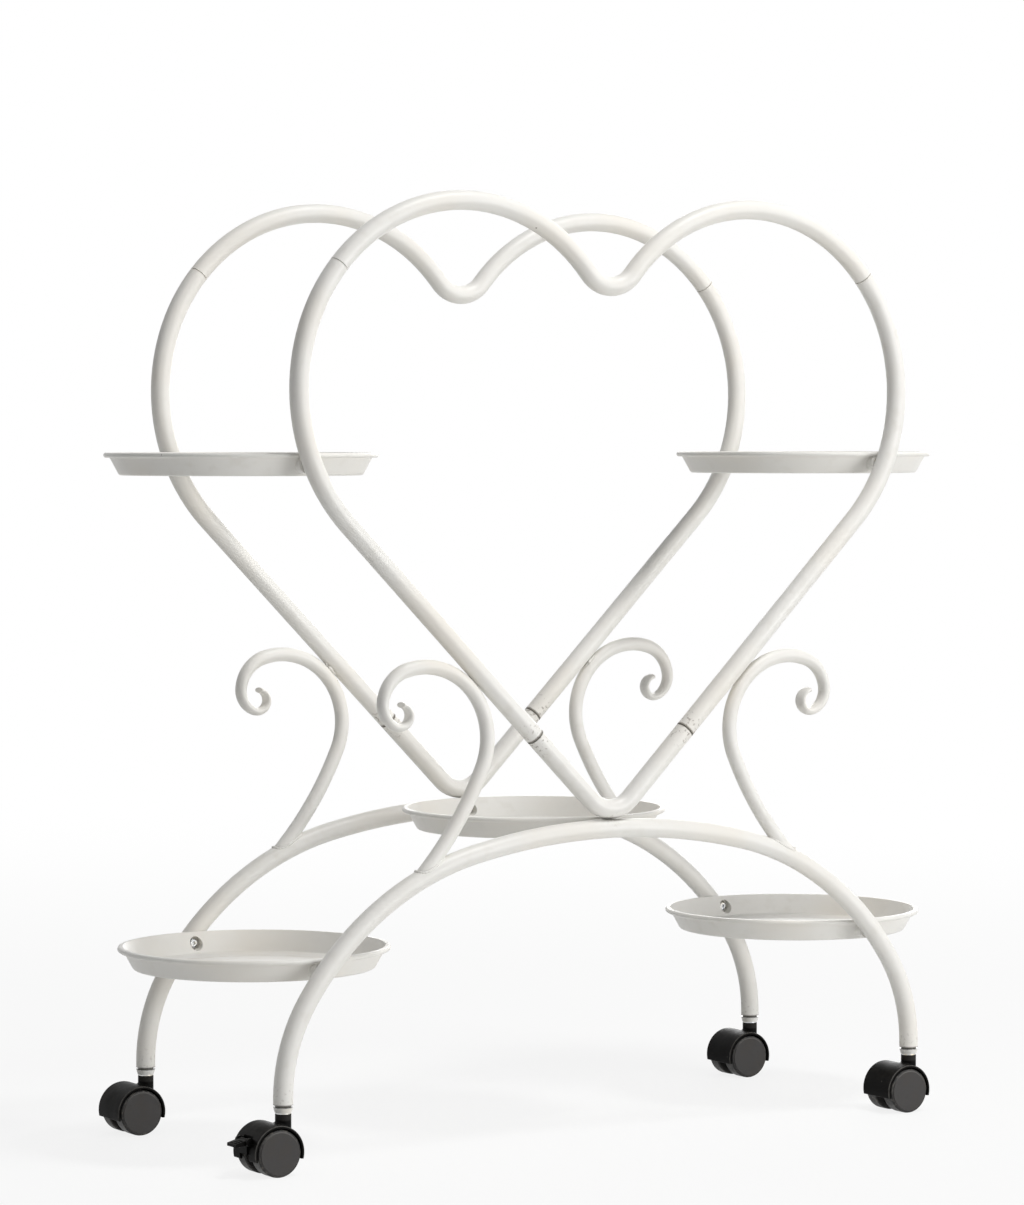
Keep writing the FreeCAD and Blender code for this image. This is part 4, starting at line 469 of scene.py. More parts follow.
@dataclass(frozen=True)
class Finish:
    """What every finish has: drifts of tint, uneven roughness and a fine skin."""

    name: str
    base: Colour = (0.5, 0.5, 0.5)
    warm: Colour = (0.5, 0.5, 0.5)
    shade: Colour = (0.5, 0.5, 0.5)
    patch: float = 70.0
    speck: float = 400.0
    roughness: Span = (0.36, 0.5)
    uneven: Span = (0.3, 0.7)
    grain: float = 2600.0
    wave: float = 300.0
    bump: float = 0.25
    depth: float = 0.05 * MM
    gloss: float = 0.5
    metallic: float = 0.0

    def material(self, effects: Effects) -> bpy.types.Material:
        """Build the finish.

        Args:
            effects: the shared node groups.

        Returns:
            The material.
        """
        material = bpy.data.materials.new(self.name)
        material.use_nodes = True
        nodes = Tree(material.node_tree)
        shader = material.node_tree.nodes["Principled BSDF"]
        shader.inputs["Specular IOR Level"].default_value = self.gloss
        shader.inputs["Metallic"].default_value = self.metallic
        tint = effects.drift.use(
            nodes, Base=self.base, Warm=self.warm, Shade=self.shade,
            Patch=self.patch, Speck=self.speck)
        rough = nodes.ramp(tint["Drift"], self.uneven, self.roughness)
        skin = effects.skin.use(nodes, Grain=self.grain, Wave=self.wave)["Height"]
        surface = Surface(nodes, tint["Colour"], rough, skin)
        self.weather_and_paint_light(effects, surface)
        nodes.feed(shader.inputs["Base Color"], surface.colour)
        nodes.feed(shader.inputs["Roughness"], surface.roughness)
        bump = nodes.add("Bump", Strength=self.bump, Distance=self.depth, Height=surface.height)
        nodes.feed(shader.inputs["Normal"], bump.outputs[0])
        return material

    def weather_and_paint_light(self, effects: Effects, surface: Surface) -> None:
        """Lay dirt, dust and wear over the clean surface, and in some finishes painted highlights
        and painted shade. A plain finish has none.

        Args:
            effects: the shared node groups.
            surface: the sockets to change.
        """


@dataclass(frozen=True)
class PowderCoat(Finish):
    """Warm white satin powder coat on steel, with dirty joints and small knocks."""

    base: Colour = (0.84, 0.825, 0.785)
    warm: Colour = (0.835, 0.80, 0.735)
    shade: Colour = (0.79, 0.77, 0.72)
    patch: float = 9.0
    speck: float = 90.0
    grain: float = 700.0
    wave: float = 30.0
    bump: float = 0.22
    depth: float = 0.12 * MM
    gloss: float = 0.36
    dirt: Colour = (0.16, 0.14, 0.11)
    primer: Colour = (0.34, 0.30, 0.26)
    joints: tuple[GrimeAndShadeJoint, ...] = ()

    def weather_and_paint_light(self, effects: Effects, surface: Surface) -> None:
        """Fleck and dirty the joints, and knock the coat through to its primer.

        Args:
            effects: the shared node groups.
            surface: the sockets to change.
        """
        nodes = surface.nodes
        for joint in self.joints:
            found = joint.use(effects, nodes)
            surface.lay(found["Flecks"], self.primer, joint.flecks)
            surface.lay(found["Line"], self.dirt, joint.line)
        knocks = effects.knocks.use(nodes)["Mask"]
        surface.lay(knocks, self.primer)
        surface.height = nodes.math("SUBTRACT", surface.height, knocks)


@dataclass(frozen=True)
class WeldCoat(PowderCoat):
    """The same coat on a weld, a little duller, with darker specks and patches."""

    shade: Colour = (0.7, 0.68, 0.63)
    roughness: Span = (0.42, 0.58)


@dataclass(frozen=True)
class TrayPaint(PowderCoat):
    """The same coat on a tray's sheet, with dried water rings on its floor."""

    centre: Vector = field(default_factory=Vector)
    ring: float = 78.0 * MM
    inner_ring: float = 56.0 * MM
    inner_width: float = 3.0 * MM
    wander: float = 12.0 * MM
    stain: Colour = (0.58, 0.52, 0.42)
    strength: float = 0.5
    on_floor: float = 0.85

    def weather_and_paint_light(self, effects: Effects, surface: Surface) -> None:
        """Weather the coat, and lay two water rings on what faces up.

        Args:
            effects: the shared node groups.
            surface: the sockets to change.
        """
        super().weather_and_paint_light(effects, surface)
        nodes = surface.nodes
        where = {"Centre": tuple(self.centre), "Wander": self.wander}
        outer = effects.rings.use(nodes, Radius=self.ring, **where)["Mask"]
        inner = effects.rings.use(
            nodes, Radius=self.inner_ring, Width=self.inner_width, **where)["Mask"]
        floor = effects.dust.use(nodes, Amount=self.on_floor)["Mask"]
        rings = nodes.times(nodes.math("MAXIMUM", outer, inner), floor)
        surface.lay(rings, self.stain, self.strength)


@dataclass(frozen=True)
class GlossPlastic(Finish):
    """Glossy white moulded plastic, darkened where it meets the leg by painted shade and dirt in
    the gap.
    """

    base: Colour = (0.86, 0.85, 0.82)
    warm: Colour = (0.84, 0.80, 0.72)
    shade: Colour = (0.6, 0.57, 0.52)
    patch: float = 60.0
    roughness: Span = (0.12, 0.26)
    grain: float = 1500.0
    wave: float = 200.0
    bump: float = 0.1
    # colour of the dark line in the gap below the leg: painted shade and dirt
    dirt: Colour = (0.06, 0.055, 0.045)
    joint: GrimeAndShadeJoint | None = None

    def weather_and_paint_light(self, effects: Effects, surface: Surface) -> None:
        """Darken the joint line with painted shade and dirt.

        Args:
            effects: the shared node groups.
            surface: the sockets to change.
        """
        if self.joint is not None:
            line = self.joint.use(effects, surface.nodes)["Line"]
            # painted shade and dirt: darkens the socket in the gap under the leg's end
            surface.lay(line, self.dirt, self.joint.line)


@dataclass(frozen=True)
class MouldedPlastic(Finish):
    """Black moulded plastic with a spark-eroded grain, dusty on top and scuffed at its knocks."""

    base: Colour = (0.0035, 0.0033, 0.0031)
    warm: Colour = (0.0055, 0.005, 0.0045)
    shade: Colour = (0.003, 0.003, 0.003)
    speck: float = 500.0
    bump: float = 0.3
    gloss: float = 0.04
    dust: Colour = (0.12, 0.11, 0.09)
    dusty: float = 0.05
    dust_clump: float = 220.0
    dulled: float = 0.35
    scuff: Colour = (0.06, 0.056, 0.052)
    scuffed: float = 0.6
    scuff_cells: float = 160.0
    scuff_size: float = 0.2
    scuff_rarity: float = 0.7

    def weather_and_paint_light(self, effects: Effects, surface: Surface) -> None:
        """Settle dust, which also dulls the gloss, and scuff the knocks.

        Args:
            effects: the shared node groups.
            surface: the sockets to change.
        """
        nodes = surface.nodes
        settled = effects.dust.use(nodes, Amount=self.dusty, Clump=self.dust_clump)["Mask"]
        surface.lay(settled, self.dust)
        dulled = nodes.times(settled, self.dulled)
        surface.roughness = nodes.math("ADD", surface.roughness, dulled)
        knocks = effects.knocks.use(
            nodes, Cells=self.scuff_cells, Size=self.scuff_size, Rarity=self.scuff_rarity)["Mask"]
        surface.lay(knocks, self.scuff, self.scuffed)


@dataclass(frozen=True)
class HoodPlastic(MouldedPlastic):
    """The same black plastic on a caster's hood, with a painted highlight along its edges and a
    painted sheen lightening its neck.
    """

    centre: Vector = field(default_factory=Vector)
    radius: float = 22.2 * MM
    half_width: float = 18.5 * MM
    edge: float = 1.1 * MM
    # colour of the painted highlight along the edges, how strong it is, and how its strength varies
    painted_edge_highlight: Colour = (0.15, 0.145, 0.135)
    highlight_strength: Span = (0.55, 1.0)
    highlight_patch: float = 260.0
    # colour of the painted sheen on the neck, and how far above the hood it fades in
    painted_neck_sheen: Colour = (0.03, 0.028, 0.026)
    neck_sheen_rise: Span = (0.5 * MM, 2.5 * MM)

    def weather_and_paint_light(self, effects: Effects, surface: Surface) -> None:
        """Weather the plastic, paint a sheen onto its neck, and paint a highlight along its edges.

        Args:
            effects: the shared node groups.
            surface: the sockets to change.
        """
        super().weather_and_paint_light(effects, surface)
        nodes = surface.nodes
        place = nodes.add("TexCoord").outputs["Object"]
        level = nodes.add("SeparateXYZ", Vector=place).outputs[2]
        # painted sheen: the neck above the hood is made lighter, standing in for its glossy
        # highlights
        crown = self.centre.z + self.radius
        span = tuple(crown + rise for rise in self.neck_sheen_rise)
        surface.lay(nodes.ramp(level, span), self.painted_neck_sheen)
        # painted highlight: a pale uneven band along each side edge of the hood, standing in for a
        # glint
        ring = effects.rings.use(
            nodes, Centre=tuple(self.centre), Axis=CROSSWISE, Radius=self.radius, Width=self.edge)
        rim = nodes.ramp(ring["Lift"], (self.half_width - self.edge, self.half_width))
        uneven = nodes.ramp(nodes.noise(place, self.highlight_patch), self.uneven, self.highlight_strength)
        surface.lay(nodes.times(nodes.times(ring["Mask"], rim), uneven), self.painted_edge_highlight)


@dataclass(frozen=True)
class WheelPlastic(Finish):
    """A charcoal disc with faint turning marks and a painted highlight on the upper part of its
    edge, and a darker, dusty tread.
    """

    base: Colour = (0.039, 0.0362, 0.035)
    warm: Colour = (0.043, 0.0382, 0.0345)
    shade: Colour = (0.0325, 0.0305, 0.0297)
    speck: float = 350.0
    roughness: Span = (0.4, 0.52)
    grain: float = 2200.0
    depth: float = 0.04 * MM
    gloss: float = 0.25
    axle: Vector = field(default_factory=Vector)
    cap_radius: float = 17.1 * MM
    tread: Colour = (0.02, 0.0195, 0.019)
    floor_dust: Colour = (0.19, 0.175, 0.15)
    dirty: float = 0.35
    patches: Span = (0.45, 0.72)
    tread_patch: float = 330.0
    edge: float = 0.9 * MM
    # colour of the painted highlight on the disc's edge, and the share of its height above the axle
    # where it shows
    painted_edge_highlight: Colour = (0.13, 0.125, 0.118)
    highlight_above: Span = (0.3, 1.0)
    turning_pitch: float = 0.7 * MM
    turning: float = 0.12

    def weather_and_paint_light(self, effects: Effects, surface: Surface) -> None:
        """Dirty the tread, paint a highlight on the disc's upper edge and add the turning marks.

        Args:
            effects: the shared node groups.
            surface: the sockets to change.
        """
        nodes = surface.nodes
        # painted highlight: a pale ring at the disc's edge, only on its upper part, standing in for
        # a glint from above
        ring = effects.rings.use(
            nodes, Centre=tuple(self.axle), Axis=CROSSWISE, Radius=self.cap_radius, Width=self.edge)
        place = nodes.add("TexCoord").outputs["Object"]
        level = nodes.add("SeparateXYZ", Vector=place).outputs[2]
        span = tuple(self.axle.z + share * self.cap_radius for share in self.highlight_above)
        surface.lay(nodes.times(ring["Mask"], nodes.ramp(level, span)), self.painted_edge_highlight)
        worn = nodes.noise(place, self.tread_patch, effects.PATCH_DETAIL)
        dusty = nodes.times(nodes.ramp(worn, self.patches), self.dirty)
        tread = nodes.blend(dusty, self.tread, self.floor_dust)
        rim = nodes.ramp(ring["Reach"], (self.cap_radius, self.cap_radius + self.edge))
        surface.colour = nodes.blend(rim, surface.colour, tread)
        wave = nodes.math("SINE", nodes.times(ring["Reach"], math.tau / self.turning_pitch))
        surface.height = nodes.math("ADD", surface.height, nodes.times(wave, self.turning))


@dataclass(frozen=True)
class ZincPlate(Finish):
    """Zinc plated steel, with a faint yellow and blue passivation."""

    base: Colour = (0.62, 0.63, 0.64)
    warm: Colour = (0.66, 0.60, 0.46)
    shade: Colour = (0.46, 0.52, 0.60)
    patch: float = 160.0
    speck: float = 420.0
    roughness: Span = (0.26, 0.42)
    grain: float = 3000.0
    wave: float = 400.0
    bump: float = 0.2
    depth: float = 0.03 * MM
    metallic: float = 1.0


def dress(node: str, material: bpy.types.Material) -> None:
    """Give a CAD node its finish.

    Args:
        node: the node's name.
        material: the finish for all of its slots.
    """
    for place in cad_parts[node].material_slots:
        place.material = material
    LOG.info("dressed %s in %s", node, material.name)


def middle(node: str) -> Vector:
    """The centre of a CAD node's box."""
    low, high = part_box(node)
    return (low + high) / 2.0


def select_only(piece: bpy.types.Object) -> None:
    """Deselect everything else and make one object active."""
    bpy.ops.object.select_all(action="DESELECT")
    piece.select_set(True)
    bpy.context.view_layer.objects.active = piece


def apply_modifiers(piece: bpy.types.Object) -> None:
    """Apply an object's modifiers in their order."""
    select_only(piece)
    for modifier in list(piece.modifiers):
        bpy.ops.object.modifier_apply(modifier=modifier.name)


def settle(piece: bpy.types.Object, angle: float = 40.0) -> None:
    """Put an object's place into its mesh, turn its faces outwards and smooth it.

    Args:
        piece: the finished object.
        angle: edges sharper than this many degrees stay sharp.
    """
    select_only(piece)
    bpy.ops.object.transform_apply(location=True, rotation=True, scale=True)
    bpy.ops.object.mode_set(mode="EDIT")
    bpy.ops.mesh.select_all(action="SELECT")
    bpy.ops.mesh.remove_doubles(threshold=MERGE)
    bpy.ops.mesh.normals_make_consistent(inside=False)
    bpy.ops.object.mode_set(mode="OBJECT")
    bpy.ops.object.shade_smooth_by_angle(angle=math.radians(angle))


def copy_piece(source: bpy.types.Object, name: str, move: Matrix) -> bpy.types.Object:
    """Copy a finished piece with a mesh of its own.

    Args:
        source: the piece to copy.
        name: the copy's name.
        move: where the copy's mesh goes.

    Returns:
        The copy.
    """
    piece = source.copy()
    piece.data = source.data.copy()
    piece.name = name
    piece.data.name = name
    piece.data.transform(move)
    bpy.context.scene.collection.objects.link(piece)
    settle(piece)
    return piece


def attach(piece: bpy.types.Object, body: str, material: bpy.types.Material) -> None:
    """Finish a new piece and make it ride on a body.

    Args:
        piece: the piece, in place.
        body: the body that it moves with.
        material: its finish.
    """
    piece.data.materials.clear()
    piece.data.materials.append(material)
    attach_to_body(piece, body)
    LOG.info("added %s on %s, %d faces", piece.name, body, len(piece.data.polygons))


@dataclass
class WeldBead:
    """A short hand-laid bead: overlapping coins of metal along X, run together."""

    radius: float = 1.9 * MM
    pitch: float = 1.5 * MM
    coins: int = 11
    coin_sides: int = 20
    coin_rings: int = 12
    coin_flat: float = 0.62
    coin_lean: float = math.radians(18.0)
    voxel: float = 0.34 * MM
    melt: float = 0.5
    melt_rounds: int = 3
    tapered: int = 4
    taper: float = 0.86

    @property
    def half(self) -> float:
        """From the bead's middle to the middle of its last coin."""
        return self.pitch * (self.coins - 1) / 2.0

    def build(self, name: str) -> bpy.types.Object:
        """Model the bead about the origin.

        Args:
            name: the bead's name.

        Returns:
            The bead, which runs along X.
        """
        bpy.ops.object.select_all(action="DESELECT")
        bpy.ops.mesh.primitive_uv_sphere_add(
            segments=self.coin_sides, ring_count=self.coin_rings, radius=self.radius)
        bead = bpy.context.object
        bead.name = name
        bpy.ops.object.mode_set(mode="EDIT")
        bpy.ops.mesh.select_all(action="SELECT")
        bpy.ops.transform.resize(value=(self.coin_flat, 1.0, 1.0))
        bpy.ops.transform.rotate(value=self.coin_lean, orient_axis="Y", center_override=NOWHERE)
        bpy.ops.transform.translate(value=(-self.half, 0.0, 0.0))
        bpy.ops.object.mode_set(mode="OBJECT")
        row = bead.modifiers.new("row", "ARRAY")
        row.count = self.coins
        row.use_relative_offset = False
        row.use_constant_offset = True
        row.constant_offset_displace = (self.pitch, 0.0, 0.0)
        fuse = bead.modifiers.new("fuse", "REMESH")
        fuse.mode = "VOXEL"
        fuse.voxel_size = self.voxel
        melt = bead.modifiers.new("melt", "SMOOTH")
        melt.factor = self.melt
        melt.iterations = self.melt_rounds
        apply_modifiers(bead)
        self._draw_in(bead)
        settle(bead)
        return bead

    def _draw_in(self, bead: bpy.types.Object) -> None:
        """Draw the bead's ends in, coin by coin.

        Args:
            bead: the bead, the only object selected.
        """
        narrower = (1.0, self.taper, self.taper)
        for side in (-1.0, 1.0):
            for coin in range(self.tapered):
                start = self.half - (self.tapered - coin - 1) * self.pitch
                for vertex in bead.data.vertices:
                    vertex.select = side * vertex.co.x > start
                bpy.ops.object.mode_set(mode="EDIT")
                bpy.ops.transform.resize(value=narrower, center_override=NOWHERE)
                bpy.ops.object.mode_set(mode="OBJECT")


@dataclass
class SaddleWeld:
    """A weld all round a bar's foot, which follows the round tube that the bar stands on."""

    bar_radius: float
    bead: float = 1.1 * MM
    seat: float = 0.2 * MM
    points: int = 96
    ripple: float = 0.1
    points_per_ripple: int = 4
    roundness: int = 3
    smooth: float = 80.0

    def build(
            self, name: str, foot: Vector, axis: Vector,
            tube: bpy.types.Object) -> bpy.types.Object:
        """Model the weld in place.

        Args:
            name: the weld's name.
            foot: a point on the bar's axis, outside the tube.
            axis: the bar's direction, away from the tube.
            tube: the tube that the bar stands on.

        Returns:
            The weld.
        """
        bpy.ops.object.select_all(action="DESELECT")
        turn = axis.to_track_quat("Z", "Y").to_euler()
        bpy.ops.mesh.primitive_circle_add(
            vertices=self.points, radius=self.bar_radius + self.seat, location=foot, rotation=turn)
        weld = bpy.context.object
        weld.name = name
        wrap = weld.modifiers.new("seat", "SHRINKWRAP")
        wrap.target = tube
        wrap.wrap_method = "PROJECT"
        wrap.use_project_z = True
        wrap.use_negative_direction = True
        wrap.use_positive_direction = False
        wrap.offset = self.seat
        apply_modifiers(weld)
        bpy.ops.object.convert(target="CURVE")
        weld.data.bevel_depth = self.bead
        weld.data.bevel_resolution = self.roundness
        for number, point in enumerate(weld.data.splines[0].points):
            phase = math.tau * number / self.points_per_ripple
            point.radius = 1.0 + self.ripple * math.sin(phase)
        bpy.ops.object.convert(target="MESH")
        settle(weld, angle=self.smooth)
        return weld


@dataclass
class TubeFrame:
    """One heart-shaped frame: its tubes and bars, and the welds that hold them together."""

    face: Face
    scroll_foot_x: float = 172.8 * MM
    scroll_lean: float = math.radians(41.7)
    scroll_bar_radius: float = 6.0 * MM
    tube_radius: float = 8.0 * MM
    clear: float = 16.0 * MM
    heart_slope: float = math.radians(45.0)
    bead_off: float = 0.6
    tack_size: float = 0.8

    def node(self, part: str) -> str:
        """The name of one of this frame's nodes."""
        return f"{self.face.value}_{part}"

    def dress(self, paint: bpy.types.Material) -> None:
        """Coat every tube and bar."""
        halves = [f"{hand.value}_{part}" for hand in Hand for part in ("scroll", "heart_side")]
        for part in ("base_arch", "heart_foot", "heart_top", *halves):
            dress(self.node(part), paint)

    def build(self, bead: bpy.types.Object, paint: bpy.types.Material) -> None:
        """Add the welds.

        Args:
            bead: a weld bead about the origin, along X, to copy.
            paint: the coat on the welds.
        """
        self._foot_weld(bead, paint)
        for hand in Hand:
            self._scroll_weld(hand, paint)
            self._scroll_tack(hand, bead, paint)

    def _foot_weld(self, bead: bpy.types.Object, paint: bpy.types.Material) -> None:
        """Lay a bead behind the point where the heart's foot stands on the arch.

        Args:
            bead: the bead to copy.
            paint: the coat on the weld.
        """
        arch = self.node("base_arch")
        level = (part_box(arch)[1].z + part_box(self.node("heart_foot"))[0].z) / 2.0
        depth = middle(arch).y + self.face.inward * self.bead_off * self.tube_radius
        weld = copy_piece(bead, self.node("foot_weld"), Matrix.Translation((0.0, depth, level)))
        attach(weld, "frame", paint)

    def _scroll_weld(self, hand: Hand, paint: bpy.types.Material) -> None:
        """Weld a scroll's foot to the arch all round.

        Args:
            hand: which scroll.
            paint: the coat on the weld.
        """
        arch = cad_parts[self.node("base_arch")]
        axis = Vector((-hand.sign * math.sin(self.scroll_lean), 0.0, math.cos(self.scroll_lean)))
        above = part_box(arch.name)[1].z + self.clear
        over = Vector((hand.sign * self.scroll_foot_x, middle(arch.name).y, above))
        top = arch.ray_cast(over, -UP)[1]
        weld = SaddleWeld(self.scroll_bar_radius).build(
            self.node(f"{hand.value}_scroll_weld"), top + axis * self.clear, axis, arch)
        attach(weld, "frame", paint)

    def _scroll_tack(self, hand: Hand, bead: bpy.types.Object, paint: bpy.types.Material) -> None:
        """Tack a scroll to the heart, behind the place where the two lie together.

        Args:
            hand: which scroll.
            bead: the bead to copy.
            paint: the coat on the tack.
        """
        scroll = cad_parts[self.node(f"{hand.value}_scroll")]
        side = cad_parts[self.node(f"{hand.value}_heart_side")]
        tree = BVHTree.FromObject(side, bpy.context.evaluated_depsgraph_get())
        gaps = ((tree.find_nearest(vertex.co)[3], vertex.co) for vertex in scroll.data.vertices)
        touch = min(gaps, key=lambda found: found[0])[1]
        depth = middle(side.name).y + self.face.inward * self.bead_off * self.scroll_bar_radius
        turn = Matrix.Rotation(-hand.sign * self.heart_slope, 4, "Y")
        size = Matrix.Scale(self.tack_size, 4)
        move = Matrix.Translation((touch.x, depth, touch.z)) @ turn @ size
        weld = copy_piece(bead, self.node(f"{hand.value}_scroll_tack"), move)
        attach(weld, "frame", paint)


@dataclass
class DishTrays:
    """The five round trays between the frames."""

    places: tuple[str, ...] = ("left_leg", "right_leg", "apex", "left_side", "right_side")

    def dress(self, effects: Effects) -> None:
        """Coat each tray, with water rings about its own middle."""
        for place in self.places:
            tray = f"{place}_tray"
            dress(tray, TrayPaint(f"{tray}_paint", centre=middle(tray)).material(effects))


@dataclass
class Fasteners:
    """The zinc plated steel: tray screws, rivet nuts, caster stems and axles."""

    shared: tuple[str, ...] = ("tray_screws", "rivet_nuts")

    def dress(self, zinc: bpy.types.Material) -> None:
        """Plate every steel piece."""
        for node in self.shared:
            dress(node, zinc)
        for corner in Corner:
            dress(f"{corner.value}_caster_stem", zinc)
            dress(f"{corner.value}_caster_axle", zinc)


@dataclass
class Caster:
    """One twin-wheel caster with the socket that holds it."""

    corner: Corner
    cap_inset: float = 1.9 * MM
    hood_over: float = 3.2 * MM
    socket_gap: float = 1.6 * MM
    # how dark the gap is painted: painted shade and dirt
    gap_shade_and_dirt: float = 0.95

    def node(self, part: str) -> str:
        """The name of one of this corner's nodes."""
        return f"{self.corner.value}_{part}"

    def dress(self, effects: Effects) -> None:
        """Finish the socket, the hood and both wheels.

        Args:
            effects: the shared node groups.
        """
        self._dress_socket(effects)
        hood = self.node("caster_hood")
        low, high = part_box(self.node("caster_wheel_front"))
        wheel_radius = (high.z - low.z) / 2.0
        axle = (low + high) / 2.0
        hood_low, hood_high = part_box(hood)
        axle.y = (hood_low.y + hood_high.y) / 2.0
        half = (hood_high.y - hood_low.y) / 2.0
        edge = wheel_radius + self.hood_over
        finish = HoodPlastic(f"{hood}_black", centre=axle, radius=edge, half_width=half)
        dress(hood, finish.material(effects))
        cap = wheel_radius - self.cap_inset
        for side in Face:
            wheel = self.node(f"caster_wheel_{side.value}")
            finish = WheelPlastic(f"{wheel}_plastic", axle=middle(wheel), cap_radius=cap)
            dress(wheel, finish.material(effects))

    def _dress_socket(self, effects: Effects) -> None:
        """Finish the white socket, with painted shade and dirt in the joint below the leg.

        Args:
            effects: the shared node groups.
        """
        socket = self.node("leg_socket")
        centre = middle(socket)
        leg_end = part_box("front_base_arch")[0].z
        place = Vector((abs(centre.x), abs(centre.y), leg_end - self.socket_gap / 2.0))
        # painted shade and dirt in the gap between the leg's end and the socket
        joint = GrimeAndShadeJoint(place, UP, width=self.socket_gap, line=self.gap_shade_and_dirt)
        dress(socket, GlossPlastic(f"{socket}_gloss", joint=joint).material(effects))


@dataclass
class BrakeLever:
    """The foot lever of the braked caster, with grip ribs across its pedal."""

    node: str = "front_left_brake_lever"
    body: str = "brake_lever"
    ribs: int = 3
    rib_pitch: float = 2.6 * MM
    rib_length: float = 10.4 * MM
    rib_width: float = 1.1 * MM
    rib_height: float = 0.9 * MM
    rib_round: float = 0.3 * MM
    rib_segments: int = 3
    tip_margin: float = 2.2 * MM
    tip_depth: float = 0.1 * MM
    pedal_slope: float = math.atan2(3.2, 12.0)

    def dress(self, black: bpy.types.Material) -> None:
        """Finish the lever's moulding."""
        dress(self.node, black)

    def build(self, black: bpy.types.Material) -> None:
        """Model one rib, round it, and set copies of it across the pedal.

        Args:
            black: the finish of the ribs.
        """
        bpy.ops.object.select_all(action="DESELECT")
        size = (self.rib_width, self.rib_length, self.rib_height)
        bpy.ops.mesh.primitive_cube_add(size=1.0, scale=size)
        rib = bpy.context.object
        bpy.ops.object.transform_apply(location=True, rotation=True, scale=True)
        soft = rib.modifiers.new("soft", "BEVEL")
        soft.width = self.rib_round
        soft.segments = self.rib_segments
        apply_modifiers(rib)
        settle(rib)
        up_pedal = Vector((math.cos(self.pedal_slope), 0.0, math.sin(self.pedal_slope)))
        turn = Matrix.Rotation(-self.pedal_slope, 4, "Y")
        for number in range(self.ribs):
            place = self._pedal_tip() + up_pedal * (self.tip_margin + number * self.rib_pitch)
            move = Matrix.Translation(place) @ turn
            piece = copy_piece(rib, f"brake_pedal_rib_{number + 1}", move)
            attach(piece, self.body, black)
        bpy.data.objects.remove(rib)

    def _pedal_tip(self) -> Vector:
        """The middle of the upper edge of the pedal's tip."""
        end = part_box(self.node)[0].x
        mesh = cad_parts[self.node].data
        level = max(vertex.co.z for vertex in mesh.vertices if vertex.co.x < end + self.tip_depth)
        return Vector((end, middle(self.node).y, level))


@dataclass(frozen=True)
class Lamp:
    """A soft lamp: its place from the stand's middle as the camera sees it, its size and watts."""

    name: str
    right: float
    ahead: float
    up: float
    width: float
    height: float
    power: float


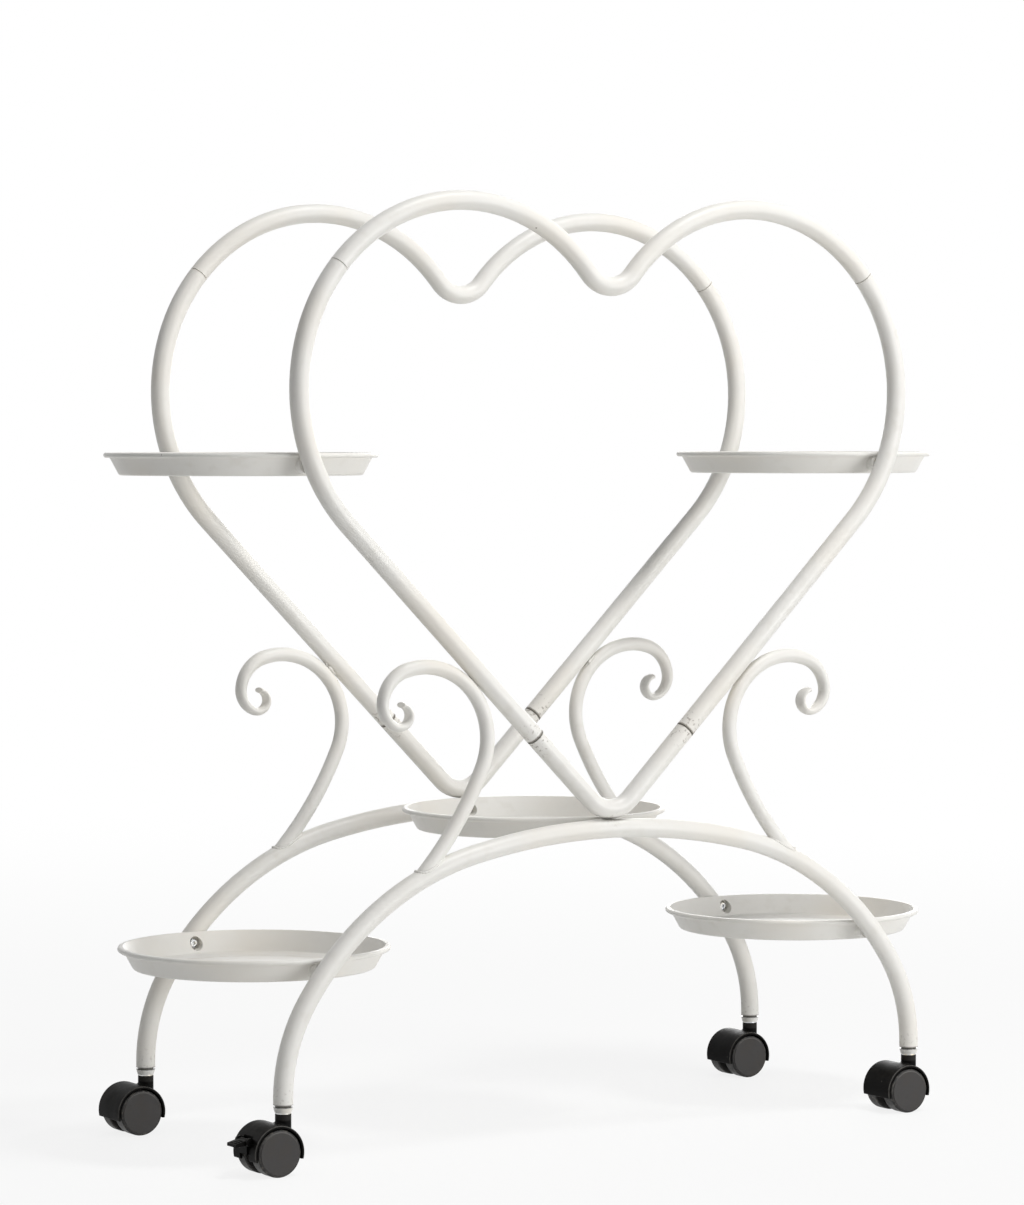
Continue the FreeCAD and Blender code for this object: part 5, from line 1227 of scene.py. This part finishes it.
@dataclass
class Studio:
    """A pale floor, soft lamps and the camera."""

    camera_place: Vector = field(default_factory=lambda: Vector((-1.916, -3.0602, 0.5796)))
    camera_turn: float = math.radians(31.76)
    camera_pitch: float = math.radians(2.18)
    image_height: float = 1205.0
    focal_pixels: float = 4250.5
    sensor: float = 36.0
    view_depth: float = 60.0
    target: Vector = field(default_factory=lambda: Vector((0.0, 0.0, 0.4)))
    floor_size: float = 16.0
    floor_fade: Span = (0.3, 3.2)
    floor_white: Span = (0.84, 1.0)
    paper: Colour = (0.9, 0.9, 0.89)
    sky: Colour = (0.97, 0.98, 1.0)
    sky_light: float = 0.26
    white: Colour = (1.0, 1.0, 1.0)
    lamps: tuple[Lamp, ...] = (
        Lamp("key_lamp", right=3.3, ahead=-1.9, up=0.1, width=2.2, height=1.4, power=70.0),
        Lamp("top_lamp", right=0.9, ahead=-0.5, up=2.3, width=0.5, height=0.5, power=33.0),
        Lamp("back_lamp", right=0.6, ahead=3.4, up=0.7, width=2.0, height=1.4, power=34.0),
    )

    def build(self) -> None:
        """Set up the world, floor, lamps and camera."""
        bpy.context.scene.view_settings.view_transform = "Standard"
        self._world()
        self._floor()
        for lamp in self.lamps:
            self._hang(lamp)
        self._camera()

    def _world(self) -> None:
        """A white surround for the camera, and a plain grey light for everything else."""
        world = bpy.data.worlds.new("studio")
        bpy.context.scene.world = world
        world.use_nodes = True
        nodes = Tree(world.node_tree)
        soft = nodes.add("Background", Color=self.sky, Strength=self.sky_light)
        white = nodes.add("Background", Color=self.white, Strength=1.0)
        mix = nodes.add("MixShader", Fac=self._seen(nodes))
        nodes.feed(mix.inputs[1], soft.outputs[0])
        nodes.feed(mix.inputs[2], white.outputs[0])
        nodes.feed(world.node_tree.nodes["World Output"].inputs["Surface"], mix.outputs[0])

    @staticmethod
    def _seen(nodes: Tree) -> bpy.types.NodeSocket:
        """Tell whether a surface is seen, straight or by reflection.

        Args:
            nodes: the nodes of the world or material.

        Returns:
            A socket, 1 where it is seen.
        """
        path = nodes.add("LightPath").outputs
        bounced = nodes.math("MAXIMUM", path["Is Glossy Ray"], path["Is Transmission Ray"])
        return nodes.math("MAXIMUM", path["Is Camera Ray"], bounced)

    def _floor(self) -> None:
        """A white floor that keeps the object's shadow and fades into the surround."""
        bpy.ops.object.select_all(action="DESELECT")
        bpy.ops.mesh.primitive_plane_add(size=self.floor_size)
        floor = bpy.context.object
        floor.name = "studio_floor"
        material = bpy.data.materials.new("floor_paper")
        material.use_nodes = True
        nodes = Tree(material.node_tree)
        material.node_tree.nodes.remove(material.node_tree.nodes["Principled BSDF"])
        reach = nodes.vector("LENGTH", nodes.add("TexCoord").outputs["Object"])["Value"]
        share = nodes.times(self._seen(nodes), nodes.ramp(reach, self.floor_fade, self.floor_white))
        paper = nodes.add("BsdfDiffuse", Color=self.paper)
        white = nodes.add("Emission", Color=self.white, Strength=1.0)
        mix = nodes.add("MixShader", Fac=share)
        nodes.feed(mix.inputs[1], paper.outputs[0])
        nodes.feed(mix.inputs[2], white.outputs[0])
        nodes.feed(material.node_tree.nodes["Material Output"].inputs["Surface"], mix.outputs[0])
        floor.data.materials.append(material)

    def _hang(self, lamp: Lamp) -> None:
        """Hang a lamp so that it faces the stand.

        Args:
            lamp: the lamp's place, size and strength.
        """
        right = Vector((math.cos(self.camera_turn), -math.sin(self.camera_turn), 0.0))
        ahead = Vector((math.sin(self.camera_turn), math.cos(self.camera_turn), 0.0))
        offset = right * lamp.right + ahead * lamp.ahead + UP * lamp.up
        data = bpy.data.lights.new(lamp.name, "AREA")
        data.shape = "RECTANGLE"
        data.size = lamp.width
        data.size_y = lamp.height
        data.energy = lamp.power
        light = bpy.data.objects.new(lamp.name, data)
        light.location = self.target + offset
        light.rotation_euler = (-offset).to_track_quat("-Z", "Y").to_euler()
        light.visible_camera = False
        bpy.context.scene.collection.objects.link(light)

    def _camera(self) -> None:
        """Place the camera at the photograph's viewing angle."""
        data = bpy.data.cameras.new("camera")
        data.sensor_fit = "VERTICAL"
        data.sensor_height = self.sensor
        data.lens = self.focal_pixels / self.image_height * self.sensor
        data.clip_end = self.view_depth
        camera = bpy.data.objects.new("camera", data)
        camera.location = self.camera_place
        camera.rotation_euler = (math.pi / 2.0 - self.camera_pitch, 0.0, -self.camera_turn)
        bpy.context.scene.collection.objects.link(camera)
        bpy.context.scene.camera = camera


def dirty_joints() -> tuple[GrimeAndShadeJoint, ...]:
    """Find where dirt gathers on the frame.

    Returns:
        The seams of the heart, the foot of the heart on the arch, and the end of a leg.
    """
    low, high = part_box("back_base_arch")
    depth = (low.y + high.y) / 2.0
    radius = (high.y - low.y) / 2.0
    slope = Vector((1.0, 0.0, 1.0)).normalized()
    side_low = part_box("back_right_heart_side")[0]
    seam = Vector((side_low.x, depth, side_low.z)) + radius * slope
    foot = Vector((0.0, depth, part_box("back_heart_foot")[0].z))
    leg = Vector((high.x - radius, depth, low.z))
    return (
        GrimeAndShadeJoint(seam, slope, flecks=0.7),
        GrimeAndShadeJoint(foot, UP, width=2.0 * MM, reach=1.6 * radius, line=0.6),
        GrimeAndShadeJoint(leg, UP, width=0.9 * MM, line=0.55),
    )


def main() -> None:
    """Build and dress the stand, piece by piece."""
    logging.basicConfig(level=logging.INFO, format="%(name)s: %(message)s")
    effects = Effects()
    paint = PowderCoat("frame_powder_coat", joints=dirty_joints()).material(effects)
    weld_paint = WeldCoat("weld_powder_coat").material(effects)
    black = MouldedPlastic("lever_black").material(effects)
    zinc = ZincPlate("zinc_plate").material(effects)
    bead = WeldBead().build("weld_bead")
    for face in Face:
        tubes = TubeFrame(face)
        tubes.dress(paint)
        tubes.build(bead, weld_paint)
    bpy.data.objects.remove(bead)
    DishTrays().dress(effects)
    Fasteners().dress(zinc)
    for corner in Corner:
        Caster(corner).dress(effects)
    lever = BrakeLever()
    lever.dress(black)
    lever.build(black)
    Studio().build()


if __name__ == "__main__":
    main()
